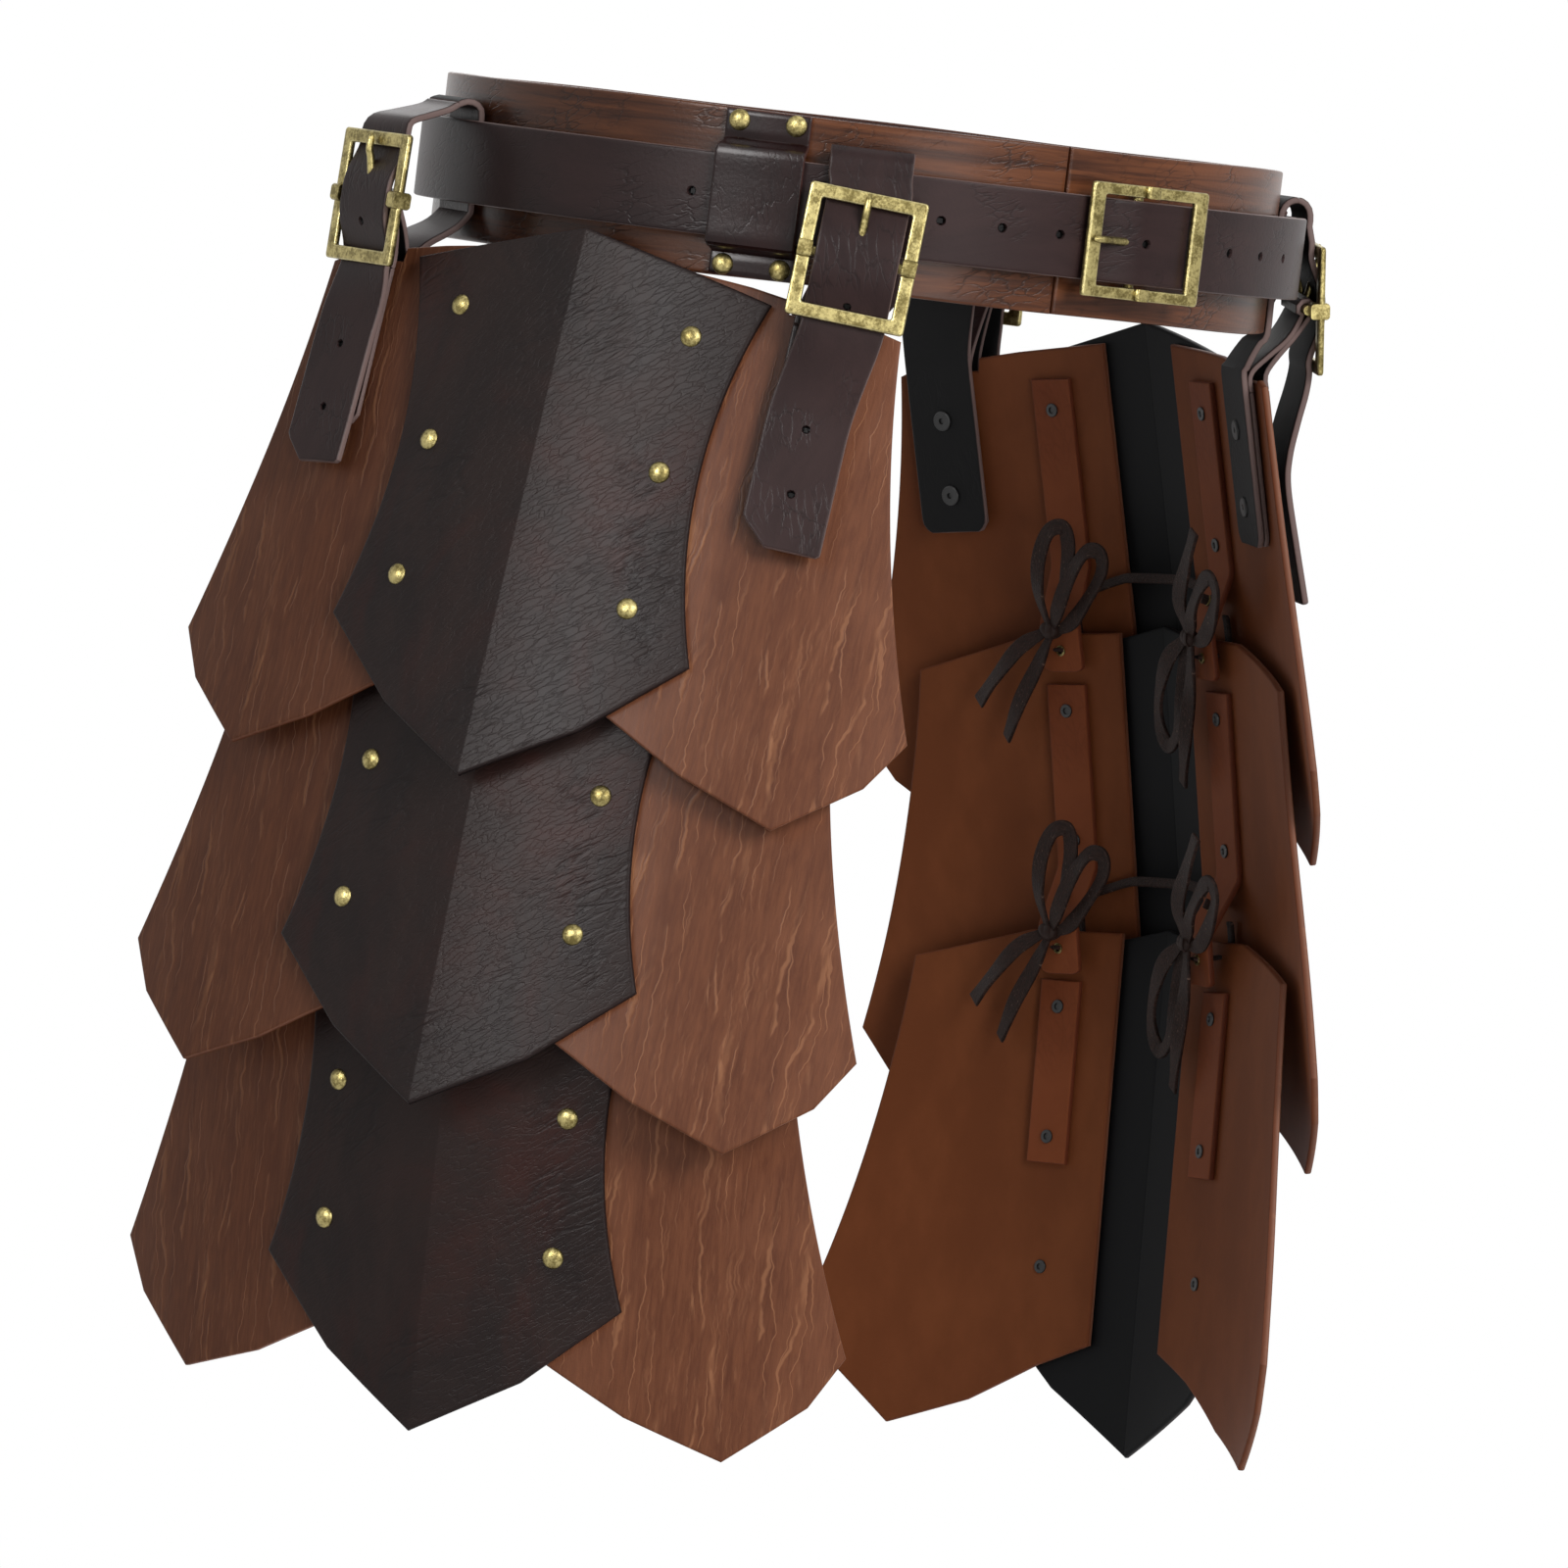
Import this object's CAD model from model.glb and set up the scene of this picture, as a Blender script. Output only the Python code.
# %% [markdown]
# # A leather armour skirt
# The real object is a wide waist belt with a narrower strap belt over it. Four buckled
# hangers drop from the belt and carry two hip tassets. Each tasset has three lames, and
# each lame is a folded ridge plate riveted over two side plates. The lames are laced to
# each other behind, with bows.
#
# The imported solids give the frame. Every piece here is worked out in the same place, in
# millimetres, and is turned into metres only when its mesh is made.

# %% Load the frame
import math

import bpy
import numpy as np
from mathutils import Matrix


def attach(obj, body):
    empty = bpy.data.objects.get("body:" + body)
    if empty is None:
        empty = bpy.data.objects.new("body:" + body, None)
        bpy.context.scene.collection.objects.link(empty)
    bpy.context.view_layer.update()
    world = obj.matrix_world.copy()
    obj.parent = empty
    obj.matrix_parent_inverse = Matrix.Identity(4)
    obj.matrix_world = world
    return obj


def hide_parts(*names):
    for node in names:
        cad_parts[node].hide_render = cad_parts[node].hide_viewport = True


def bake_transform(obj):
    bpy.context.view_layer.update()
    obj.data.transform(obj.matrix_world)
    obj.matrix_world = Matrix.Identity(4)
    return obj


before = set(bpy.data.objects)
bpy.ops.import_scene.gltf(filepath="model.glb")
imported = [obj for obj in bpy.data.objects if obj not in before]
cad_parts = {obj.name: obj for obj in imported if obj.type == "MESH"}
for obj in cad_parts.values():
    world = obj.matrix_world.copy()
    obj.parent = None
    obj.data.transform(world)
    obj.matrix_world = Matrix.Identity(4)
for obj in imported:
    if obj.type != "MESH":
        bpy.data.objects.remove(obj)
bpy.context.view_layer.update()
MM = 0.001

# %% [markdown]
# The skirt is drawn round a vertical axis, so most places are an angle from the front and
# a distance from the centre. The wearer faces -Y, and the wearer's left hip is at +X. Two
# small functions turn an angle into an outward and a forward direction, and both take
# whole arrays of angles.

# %% Directions round the waist
UP = np.array([0.0, 0.0, 1.0])


def unit(v):
    """Each vector divided by its own length."""
    v = np.asarray(v, float)
    return v / np.linalg.norm(v, axis=-1, keepdims=True)


def out(angle):
    """Outwards at an angle in degrees from the front: (sin, -cos, 0)."""
    a = np.radians(np.asarray(angle, float))
    return np.stack([np.sin(a), -np.cos(a), 0 * a], -1)


def fwd(angle):
    """A quarter turn from out(): (-cos, -sin, 0), which is forwards on the left hip."""
    a = np.radians(np.asarray(angle, float))
    return np.stack([-np.cos(a), -np.sin(a), 0 * a], -1)


def mix(a, b, t):
    """A straight blend of numbers or arrays, and later also of a material's sockets."""
    return a + (b - a) * t


def ease(t):
    """A smooth step from 0 to 1: 3t squared less 2t cubed."""
    t = np.clip(t, 0, 1)
    return t * t * (3 - 2 * t)


# %% [markdown]
# ## The camera
# The photograph was taken from far away with a long lens, so parallel edges stay nearly
# parallel. The camera looks at the wearer's right front, a little from above, and it is
# rolled by a few degrees, which is why the belt slopes down to the right.

# %% Camera
EYE = np.array([-3.5168, -2.9093, 0.0454])
LOOK = unit([0.76874, 0.63622, -0.06526])
ROLL = math.radians(6.84)
FOCAL_PX, PHOTO_PX, SENSOR = 10792, 1600, 36


def look_through(eye, look, roll):
    """Columns of the camera's matrix: right, up and backwards, the first two turned by roll."""
    level = unit(np.cross(look, UP))
    rise = np.cross(level, look)
    right = math.cos(roll) * level + math.sin(roll) * rise
    top = math.cos(roll) * rise - math.sin(roll) * level
    turn = np.eye(4)
    turn[:3, :4] = np.stack([right, top, -look, eye], -1)
    lens = bpy.data.cameras.new("camera")
    lens.sensor_width, lens.lens = SENSOR, FOCAL_PX / PHOTO_PX * SENSOR
    lens.clip_end = 60
    camera = bpy.data.objects.new("camera", lens)
    camera.matrix_world = Matrix(turn.tolist())
    bpy.context.scene.collection.objects.link(camera)
    bpy.context.scene.camera = camera


look_through(EYE, LOOK, ROLL)
print("lens", round(bpy.context.scene.camera.data.lens, 1), "mm")

# %% [markdown]
# ## Meshes from grids
# Nearly every piece is leather: a sheet with a thickness and slightly rounded edges. So a
# sheet is a grid of points on its middle surface, and one function gives it two faces and
# a rim. It also stores three things for the materials: where each point lies on the flat
# leather before it was bent, how near it is to a cut edge, and whether it is on the inner
# face.

# %% Faces of a grid
# Places of the extra grid lines beside a cut edge, in mm from it, and where even steps start
NEAR_EDGE, EVEN_FROM = np.array([0, 0.25, 0.6, 1.1, 2.0]), 4
EDGE_MARK = 1.6


def quads(ids):
    """The four-sided faces between neighbouring grid points."""
    return np.stack([ids[:-1, :-1], ids[:-1, 1:], ids[1:, 1:], ids[1:, :-1]], -1).reshape(-1, 4)


def border(ids):
    """The ids round the border of a grid, once round."""
    return np.concatenate([ids[0, :-1], ids[:-1, -1], ids[-1, :0:-1], ids[:0:-1, 0]])


def normals(grid):
    """The unit normal at each grid point: the cross product of the two steps along the grid."""
    return unit(np.cross(np.gradient(grid, axis=1), np.gradient(grid, axis=0)))


def edge_distance(grid):
    """Distance along the grid lines from each point to the nearest border."""
    def walked(g):
        step = np.linalg.norm(np.diff(g, axis=0), axis=-1)
        a = np.concatenate([np.zeros((1,) + step.shape[1:]), np.cumsum(step, 0)])
        return np.minimum(a, a[-1:] - a)
    return np.minimum(walked(grid), walked(grid.transpose(1, 0, 2)).T)


def wall(grid, thick, turn=1, edge_r=1.1, square=0.5, press=None):
    """A closed sheet: points at plus and minus half the thickness along the normal. Near an
    edge the half thickness falls along a quarter circle from 1 to its share called square."""
    n = normals(grid) * turn
    e = edge_distance(grid)
    t = np.clip(e / edge_r, 0, 1)
    half = thick / 2 * (square + (1 - square) * np.sqrt(1 - (1 - t) ** 2))
    front = grid + n * half[..., None]
    back = grid - n * half[..., None]
    if press is not None:
        front = front - n * press[..., None]
    ids = np.arange(e.size).reshape(e.shape)
    f, b = border(ids), border(ids + e.size)
    rim = np.stack([np.roll(f, -1), f, b, np.roll(b, -1)], -1)
    faces = np.concatenate([quads(ids), quads(ids + e.size)[:, ::-1], rim])
    if turn < 0:
        faces = faces[:, ::-1]
    near = 1 - np.clip(e / EDGE_MARK, 0, 1)
    marks = {"edge": np.tile(near.ravel(), 2), "inner": np.repeat([0.0, 1.0], e.size)}
    return np.concatenate([front.reshape(-1, 3), back.reshape(-1, 3)]), faces, marks


# %% Joining and finishing a piece
def volume(points, faces):
    """Six times the volume that the faces enclose, from triangle fans."""
    total = 0.0
    for k in range(1, faces.shape[1] - 1):
        a, b, c = points[faces[:, 0]], points[faces[:, k]], points[faces[:, k + 1]]
        total += np.einsum("ij,ij->i", a, np.cross(b, c)).sum()
    return total


def joined(parts):
    """Several (points, faces, marks) as one, each with its faces turned outwards."""
    points, faces, marks, start = [], [], {}, 0
    for p, f, m in parts:
        groups = f if isinstance(f, list) else [f]
        flip = sum(volume(p, g) for g in groups) < 0
        points.append(p)
        for g in groups:
            faces.extend(((g[:, ::-1] if flip else g) + start).tolist())
        for name in set(m) | set(marks):
            size = m[name].shape[1:] if name in m else marks[name][0].shape[1:]
            marks.setdefault(name, [np.zeros((start,) + size)] if start else [])
            marks[name].append(m.get(name, np.zeros((len(p),) + size)))
        start += len(p)
    return np.concatenate(points), faces, {k: np.concatenate(v) for k, v in marks.items()}


SIDES = {"right": -1, "left": 1}
SHARP_ANGLE = 35
made = []


def piece(name, parts, material, body, side=1, replaces=()):
    """One object from its parts. The right side is the left one mirrored in X."""
    mirror = np.array([side, 1, 1]) * MM
    parts = [(p * mirror, f, m) for p, f, m in parts]
    points, faces, marks = joined(parts)
    mesh = bpy.data.meshes.new(name)
    mesh.from_pydata(points.tolist(), [], faces)
    for key, values in marks.items():
        kind = "FLOAT_VECTOR" if values.ndim == 2 else "FLOAT"
        field = "vector" if values.ndim == 2 else "value"
        mesh.attributes.new(key, kind, "POINT").data.foreach_set(
            field, np.ascontiguousarray(values, np.float32).ravel())
    mesh.materials.append(material)
    mesh.update()
    mesh.shade_smooth()
    mesh.set_sharp_from_angle(angle=math.radians(SHARP_ANGLE))
    obj = bpy.data.objects.new(name, mesh)
    bpy.context.scene.collection.objects.link(obj)
    if body:
        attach(obj, body)
    if replaces:
        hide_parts(*replaces)
    made.append((name, len(faces)))
    return obj


# %% [markdown]
# ## Lines that straps and laces follow
# A strap is drawn through a few points, each with the direction of its width. A smooth
# line has to run through them, so each stretch is a cubic whose end slopes come from the
# points on either side (a Catmull-Rom curve). The result is then cut into equal steps.

# %% Smooth lines
def smooth_line(points, step, widths=None):
    """Catmull-Rom through the points at equal steps; widths are carried along with them."""
    p = np.asarray(points, float)
    carried = p if widths is None else np.concatenate([p, np.asarray(widths, float)], 1)
    q = np.concatenate([2 * carried[:1] - carried[1:2], carried, 2 * carried[-1:] - carried[-2:-1]])
    t = np.linspace(0, 1, 24, endpoint=False)[:, None, None]
    a, b, c, d = q[:-3], q[1:-2], q[2:-1], q[3:]
    curve = 0.5 * (2 * b + (c - a) * t + (2 * a - 5 * b + 4 * c - d) * t ** 2
                   + (3 * b - a - 3 * c + d) * t ** 3)
    line = np.concatenate([curve.transpose(1, 0, 2).reshape(-1, q.shape[1]), carried[-1:]])
    run = np.concatenate([[0], np.cumsum(np.linalg.norm(np.diff(line[:, :3], axis=0), axis=1))])
    count = max(3, int(round(run[-1] / step)) + 1)
    at = np.linspace(0, run[-1], count)
    even = np.stack([np.interp(at, run, line[:, k]) for k in range(line.shape[1])], -1)
    return (even, at) if widths is None else (even[:, :3], unit(even[:, 3:6]), at)


def across_steps(half):
    """Places across a strap, from -1 to 1, closer together at its two edges."""
    near = NEAR_EDGE / half
    middle = np.linspace(-1 + EVEN_FROM / half, 1 - EVEN_FROM / half, 9)
    return np.unique(np.round(np.concatenate([near - 1, middle, 1 - near]), 4))


def add_near(places, centres, radius):
    """More places beside each centre, so that a round hole has points on its rim."""
    extra = [c + radius * k for c in centres for k in (-1.35, -1, -0.8, -0.5, 0, 0.5, 0.8, 1, 1.35)]
    return np.unique(np.round(np.concatenate([places, extra]), 3))


print("helpers ready")

# %% [markdown]
# ## Materials as sums
# A leather finish is a sum of a few patterns, and it reads best when it is written as
# one. So a small class wraps a node's output and overloads the operators. Each operator
# adds the Math node that does the same sum. All other nodes come from one method.

# %% Sockets that add up
class Wire:
    """A node's output that stands in a sum; numbers may stand on either side of it."""

    def __init__(self, finish, socket):
        self.finish, self.socket = finish, socket

    def sum(self, operation, a, b):
        return self.finish.node("Math", {"operation": operation}, {0: a, 1: b})

    def __add__(self, other):
        return self.sum("ADD", self, other)

    def __sub__(self, other):
        return self.sum("SUBTRACT", self, other)

    def __rsub__(self, other):
        return self.sum("SUBTRACT", other, self)

    def __mul__(self, other):
        return self.sum("MULTIPLY", self, other)

    __radd__, __rmul__ = __add__, __mul__


class Finish:
    """A material in the making. The attribute called cut is the place on the flat leather."""

    def __init__(self, name):
        self.material = bpy.data.materials.new(name)
        self.material.use_nodes = True
        self.tree = self.material.node_tree
        self.tree.nodes.clear()
        self.cut = self.attribute("cut", 1)
        self.edge = self.attribute("edge", 2)
        self.inner = self.attribute("inner", 2)

    def node(self, kind, settings, inputs=None, output=0):
        """Any node: its settings first, then the values or links of its sockets."""
        made_node = self.tree.nodes.new("ShaderNode" + kind)
        for key, value in settings.items():
            setattr(made_node, key, value)
        for key, value in (inputs or {}).items():
            if isinstance(value, Wire):
                self.tree.links.new(value.socket, made_node.inputs[key])
            else:
                made_node.inputs[key].default_value = value
        return Wire(self, made_node.outputs[output]) if made_node.outputs else None

    def attribute(self, name, output):
        """What the mesh stores under this name: output 1 is its vector and 2 its number."""
        return self.node("Attribute", {"attribute_name": name}, output=output)

    def stretched(self, scale, turn=0.0):
        """The place on the flat leather, turned and then scaled in each direction."""
        turned = self.node("Mapping", {"vector_type": "POINT"},
                           {"Vector": self.cut, "Rotation": (0, 0, turn)})
        return self.node("VectorMath", {"operation": "MULTIPLY"}, {0: turned, 1: scale})

    def noise(self, scale, detail, rough=0.55, bend=0.0):
        """Clouds or fibres: a large scale makes them narrow in that direction."""
        return self.node("TexNoise", {}, {"Vector": self.stretched(scale), "Scale": 1.0,
                                          "Detail": detail, "Roughness": rough, "Distortion": bend})

    def cracks(self, scale, turn, wander, waves=None):
        """Distance to the walls of a net of cells, whose coordinates are pushed about by noise.

        waves is a scale for noise of its own, which then pushes the walls only sideways."""
        drift = self.node("TexNoise", {}, {"Vector": self.stretched(waves or scale, turn),
                                           "Scale": 1.0 if waves else 0.7, "Detail": 3}, output=1)
        drift = self.node("VectorMath", {"operation": "MULTIPLY"},
                          {0: drift, 1: (wander, 0, 0) if waves else (wander, wander, wander)})
        place = self.node("VectorMath", {"operation": "ADD"},
                          {0: self.stretched(scale, turn), 1: drift})
        return self.node("TexVoronoi", {"feature": "DISTANCE_TO_EDGE"},
                         {"Vector": place, "Scale": 1.0})

    def step(self, value, low, high):
        """0 below low and 1 above high, with a smooth step between."""
        return self.node("MapRange", {"interpolation_type": "SMOOTHSTEP"},
                         {0: value, 1: low, 2: high, 3: 0.0, 4: 1.0})

    def blend(self, a, b, factor):
        """A colour between a and b."""
        return self.node("Mix", {"data_type": "RGBA"}, {0: factor, 6: a, 7: b}, output=2)

    def bump(self, height, depth, strength):
        """A normal that follows a height; depth is in metres."""
        return self.node("Bump", {}, {"Height": height, "Distance": depth, "Strength": strength})

    def done(self, colour, rough, normal, **fixed):
        """The surface shader: colour, roughness and normal may vary, the rest are plain numbers."""
        inputs = {"Base Color": colour, "Roughness": rough, "Normal": normal}
        inputs.update({key.replace("_", " "): value for key, value in fixed.items()})
        shader = self.node("BsdfPrincipled", {}, inputs)
        self.node("OutputMaterial", {}, {"Surface": shader})
        return self.material


def paint(r, g, b):
    """A colour as it looks on a screen, 0 to 255, as the light values that a shader needs."""
    c = np.array([r, g, b]) / 255
    c = np.where(c <= 0.04045, c / 12.92, ((c + 0.055) / 1.055) ** 2.4)
    return (*c.tolist(), 1.0)


# %% [markdown]
# ## Side plate leather
# The side plates are red-brown pull-up leather. It has an upright grain of fine dark
# and light fibres, larger worn patches, and light wavy lines where it has cracked. Its
# cut edges are a little paler. The inner face is a smooth orange-brown lining, which is
# darker at its edges. Noise that is stretched along the plate gives the fibres. The
# lines are the walls of cells many times as long as wide, pushed sideways by noise.

# %% Side plate leather
def side_leather():
    """Fibres, streaks and worn patches, two sizes of light lines, and a plain lining."""
    f = Finish("side_leather")
    fibre = f.noise((520, 60, 1), 7, 0.66, 0.4)
    streak = f.noise((110, 12, 1), 5, 0.6, 0.8)
    patch = f.noise((14, 9, 1), 4, 0.6)
    crack = 1 - f.step(f.cracks((130, 4, 1), 0, 1.7, (24, 50, 1)), 0.01, 0.042)
    short = 1 - f.step(f.cracks((230, 6, 1), 0, 1.6, (46, 90, 1)), 0.01, 0.07)
    worn = f.step(patch, 0.42, 0.7)
    lines = crack * f.step(f.noise((90, 20, 1), 3, 0.6), 0.45, 0.58)
    lines = lines + short * f.step(f.noise((110, 30, 1), 3, 0.6, 0.3), 0.5, 0.64) * 0.5
    body = f.blend(paint(104, 59, 38), paint(126, 76, 50), f.step(fibre, 0.3, 0.7))
    body = f.blend(body, paint(84, 44, 28), f.step(streak, 0.48, 0.72) * 0.55)
    body = f.blend(body, paint(146, 94, 68), worn * 0.45)
    body = f.blend(body, paint(190, 132, 94), lines * 0.42)
    body = f.blend(body, paint(158, 112, 92), f.step(f.edge, 0.72, 1.0) * 0.6)
    grain = f.noise((900, 900, 1), 3, 0.5)
    cloud = f.step(f.noise((30, 18, 1), 5), 0.35, 0.7)
    lining = f.blend(paint(123, 68, 38), paint(137, 78, 45), cloud)
    lining = f.blend(lining, paint(104, 52, 30), f.step(f.edge, 0.2, 0.9) * 0.5)
    rough = mix(0.44 + 0.12 * fibre - 0.06 * worn, 0.6, f.inner)
    height = mix(fibre * 0.4 + lines * 0.5 + grain * 0.3, grain * 0.35, f.inner)
    return f.done(f.blend(body, lining, f.inner), rough, f.bump(height, 0.0003, 0.6),
                  Specular_IOR_Level=0.15)


SIDE = side_leather()

# %% [markdown]
# ## Ridge plate leather
# The ridge plates are espresso leather with a grey sheen. Long shallow creases slant up
# to the front, and between these lies a fine pebble. The creases come from stretched
# cells that are turned by a little more than half a right angle. The inner face is black.

# %% Ridge plate leather
def ridge_leather():
    """Two browns and a red in soft clouds, with large and fine creases in some places."""
    f = Finish("ridge_leather")
    pebble = f.noise((700, 700, 1), 4, 0.6)
    cloud = f.noise((16, 11, 1), 5, 0.62, 0.8)
    crease = 1 - f.step(f.cracks((150, 34, 1), -0.95, 1.8), 0.0, 0.14)
    fine = 1 - f.step(f.cracks((420, 120, 1), -0.9, 1.8), 0.0, 0.12)
    where = f.step(f.noise((24, 24, 1), 4, 0.6), 0.5, 0.66)
    crease = crease * where
    colour = f.blend(paint(36, 27, 26), paint(52, 38, 35), f.step(cloud, 0.35, 0.7))
    red = f.step(f.noise((11, 8, 1), 5, 0.65, 0.6), 0.5, 0.72)
    colour = f.blend(colour, paint(70, 36, 30), red * 0.6)
    colour = f.blend(colour, paint(24, 18, 18), crease * 0.35)
    colour = f.blend(colour, paint(30, 23, 23), fine * where * 0.3)
    colour = f.blend(colour, paint(84, 66, 62), f.step(pebble, 0.62, 0.8) * 0.2)
    colour = f.blend(colour, paint(38, 28, 28), f.step(f.edge, 0.25, 0.9) * 0.7)
    colour = f.blend(colour, paint(9, 10, 12), f.inner)
    rough = mix(0.36 + 0.12 * cloud, 0.6, f.inner)
    height = mix(pebble * 0.3 + fine * -0.3 + crease * -0.8, pebble * 0.2, f.inner)
    return f.done(colour, rough, f.bump(height, 0.0004, 0.5), Specular_IOR_Level=0.12)


RIDGE = ridge_leather()

# %% [markdown]
# ## Strap, belt, keeper and tab leather
# Straps are cut from a dark brown hide. Their cut edges are left pale, and their inner
# side is black. The wide belt is glossy and red-brown with long streaks, the keepers are
# glossy and dark red, and the tabs inside the lames are tan all over. One recipe with
# different colours and numbers serves all four. A punched hole is nearly black inside.

# %% Strap, belt, keeper and tab leather
def strap_leather(name, dark, light, edge, back, streak, gloss, crease=0.5, coat=0.0):
    """streak is the scale of the colour's clouds, gloss the least roughness of the face."""
    f = Finish(name)
    fine = f.noise((560, 560, 1), 4, 0.6)
    cloud = f.noise(streak, 6, 0.62, 0.8)
    crack = 1 - f.step(f.cracks((260, 90, 1), 0.3, 1.6), 0.0, 0.1)
    crack = crack * f.step(f.noise((30, 30, 1), 3), 0.45, 0.62)
    hole = f.attribute("hole", 2)
    colour = f.blend(dark, light, f.step(cloud, 0.32, 0.7))
    colour = f.blend(colour, [c * 0.45 for c in dark[:3]] + [1], crack * crease)
    colour = f.blend(colour, edge, f.step(f.edge, 0.6, 1.0))
    colour = f.blend(colour, back, f.inner * (1 - f.step(f.edge, 0.5, 0.98)))
    colour = f.blend(colour, paint(8, 7, 7), f.step(hole, 0.3, 0.7))
    rough = mix(gloss + 0.12 * cloud, 0.62, f.inner)
    height = fine * 0.3 + cloud * 0.3 + crack * (-0.7 * crease)
    return f.done(colour, rough, f.bump(height, 0.0004, 0.6), Coat_Weight=coat, Coat_Roughness=0.25,
                  Specular_IOR_Level=0.14)


BLACK_BACK = paint(17, 17, 18)
STRAP = strap_leather("strap_leather", paint(42, 28, 28), paint(60, 42, 41), paint(126, 106, 102),
                      BLACK_BACK, (22, 10, 1), 0.34)
BELT = strap_leather("belt_leather", paint(64, 34, 21), paint(124, 74, 46), paint(104, 62, 42),
                     paint(58, 32, 26), (170, 7, 1), 0.24, 0.7, 0.12)
KEEPER = strap_leather("keeper_leather", paint(28, 13, 13), paint(44, 21, 20), paint(80, 52, 48),
                       BLACK_BACK, (20, 10, 1), 0.22, 0.4, 0.12)
TAB = strap_leather("tab_leather", paint(128, 66, 38), paint(146, 80, 48), paint(104, 52, 32),
                    paint(134, 72, 42), (26, 12, 1), 0.5, 0.15)

# %% [markdown]
# ## Lace leather and brass
# The laces are narrow flat strips whose dark surface has cracked, so pale specks show
# along them. The metal is brass that was darkened and then rubbed bright again: a
# mottle of a dark and a light brass, rougher in some spots, with the palest at its edges.
# The backs of the rivets and the hollow hanger rivets are black enamel.

# %% Lace leather and metals
def lace_leather():
    """Dark brown, with pale specks where noise and cracks meet."""
    f = Finish("lace_leather")
    speck = f.noise((1500, 420, 1), 3, 0.7)
    crack = 1 - f.step(f.cracks((900, 380, 1), 0.4, 1.2), 0.0, 0.14)
    colour = f.blend(paint(30, 20, 17), paint(50, 34, 29), f.step(speck, 0.35, 0.65))
    colour = f.blend(colour, paint(150, 126, 112), f.step(speck, 0.6, 0.72) * crack * 0.8)
    return f.done(colour, 0.5 + 0.15 * speck, f.bump(speck * 0.4 + crack * -0.5, 0.0004, 0.7),
                  Specular_IOR_Level=0.16)


def metal(name, dark, light, worn, rough, metallic=1.0):
    """A broad and a fine mottle of dark and light, with a worn colour at the edges."""
    f = Finish(name)
    place = f.node("TexCoord", {}, {}, output=3)

    def mottle(size, detail):
        return f.node("TexNoise", {}, {"Vector": place, "Scale": size, "Detail": detail,
                                       "Roughness": 0.65})
    broad, fine = mottle(160, 5), mottle(900, 4)
    colour = f.blend(dark, light, f.step(broad * 0.6 + fine * 0.4, 0.4, 0.6))
    colour = f.blend(colour, worn, f.step(f.edge, 0.3, 0.9) * 0.6)
    return f.done(colour, rough + 0.2 * fine, f.bump(fine, 0.0002, 0.5), Metallic=metallic)


LACE = lace_leather()
BRASS = metal("antique_brass", paint(102, 91, 54), paint(170, 157, 106), paint(216, 207, 162), 0.27)
BLACK = metal("black_enamel", paint(9, 9, 9), paint(18, 17, 17), paint(44, 41, 40), 0.34, 0.0)
print("materials", len(bpy.data.materials))

# %% [markdown]
# ## Turned and swept metal
# Rivet heads, washers, bars and prongs are round in section. A rivet head is a profile
# turned about its axis, with one point at each pole. A bar is a ring carried along a
# line. A buckle's frame closes on itself both ways: round the frame and round its bar.

# %% Turned and swept forms
ASKEW = [0.31, 0.2, 0.93]
TURN_STEPS, BAR_STEPS = 28, 14


def circle(axis):
    """Directions square to an axis, once round it. No axis here lies along ASKEW."""
    side = unit(np.cross(axis, ASKEW))
    t = np.linspace(0, 2 * np.pi, TURN_STEPS, endpoint=False)[:, None]
    return np.cos(t) * side + np.sin(t) * np.cross(axis, side)


def squared(c, power):
    """A cosine or sine pushed out towards 1 and -1, which gives a round section corners."""
    return np.sign(c) * np.abs(c) ** power


def rings(body, poles):
    """Closed form from rings of points, with a single point at each end."""
    ids = np.arange(body.shape[0] * body.shape[1]).reshape(body.shape[:2])
    nxt = np.roll(ids, -1, 1)
    sides = np.stack([ids[:-1], nxt[:-1], nxt[1:], ids[1:]], -1).reshape(-1, 4)
    first = np.stack([np.full(ids.shape[1], ids.size), nxt[0], ids[0]], -1)
    last = np.stack([np.full(ids.shape[1], ids.size + 1), ids[-1], nxt[-1]], -1)
    points = np.concatenate([body.reshape(-1, 3), np.asarray(poles).reshape(2, 3)])
    return points, [sides, first, last], {}


def turned(profile, place, axis):
    """A profile of (radius, height) turned about an axis, both its ends on the axis."""
    axis = unit(axis)
    ring = circle(axis)
    r, h = np.asarray(profile, float).T
    body = place + r[1:-1, None, None] * ring + h[1:-1, None, None] * axis
    return rings(body, [place + h[0] * axis, place + h[-1] * axis])


def swept(line, radii, side):
    """A ring of each radius at each point of a line; side is square to the whole line."""
    line, radii = np.asarray(line, float), np.asarray(radii, float)
    other = np.cross(unit(np.gradient(line, axis=0)), side)[:, None]
    t = np.linspace(0, 2 * np.pi, BAR_STEPS, endpoint=False)[:, None]
    body = line[:, None] + radii[:, None, None] * (np.cos(t) * np.asarray(side) + np.sin(t) * other)
    return rings(body, [line[0], line[-1]])


def looped(grid, marks=None):
    """Closed form from a grid that wraps round in both directions."""
    ids = np.arange(grid.shape[0] * grid.shape[1]).reshape(grid.shape[:2])
    right, down = np.roll(ids, -1, 1), np.roll(ids, -1, 0)
    faces = np.stack([ids, right, np.roll(right, -1, 0), down], -1).reshape(-1, 4)
    return grid.reshape(-1, 3), [faces], marks or {}


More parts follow.
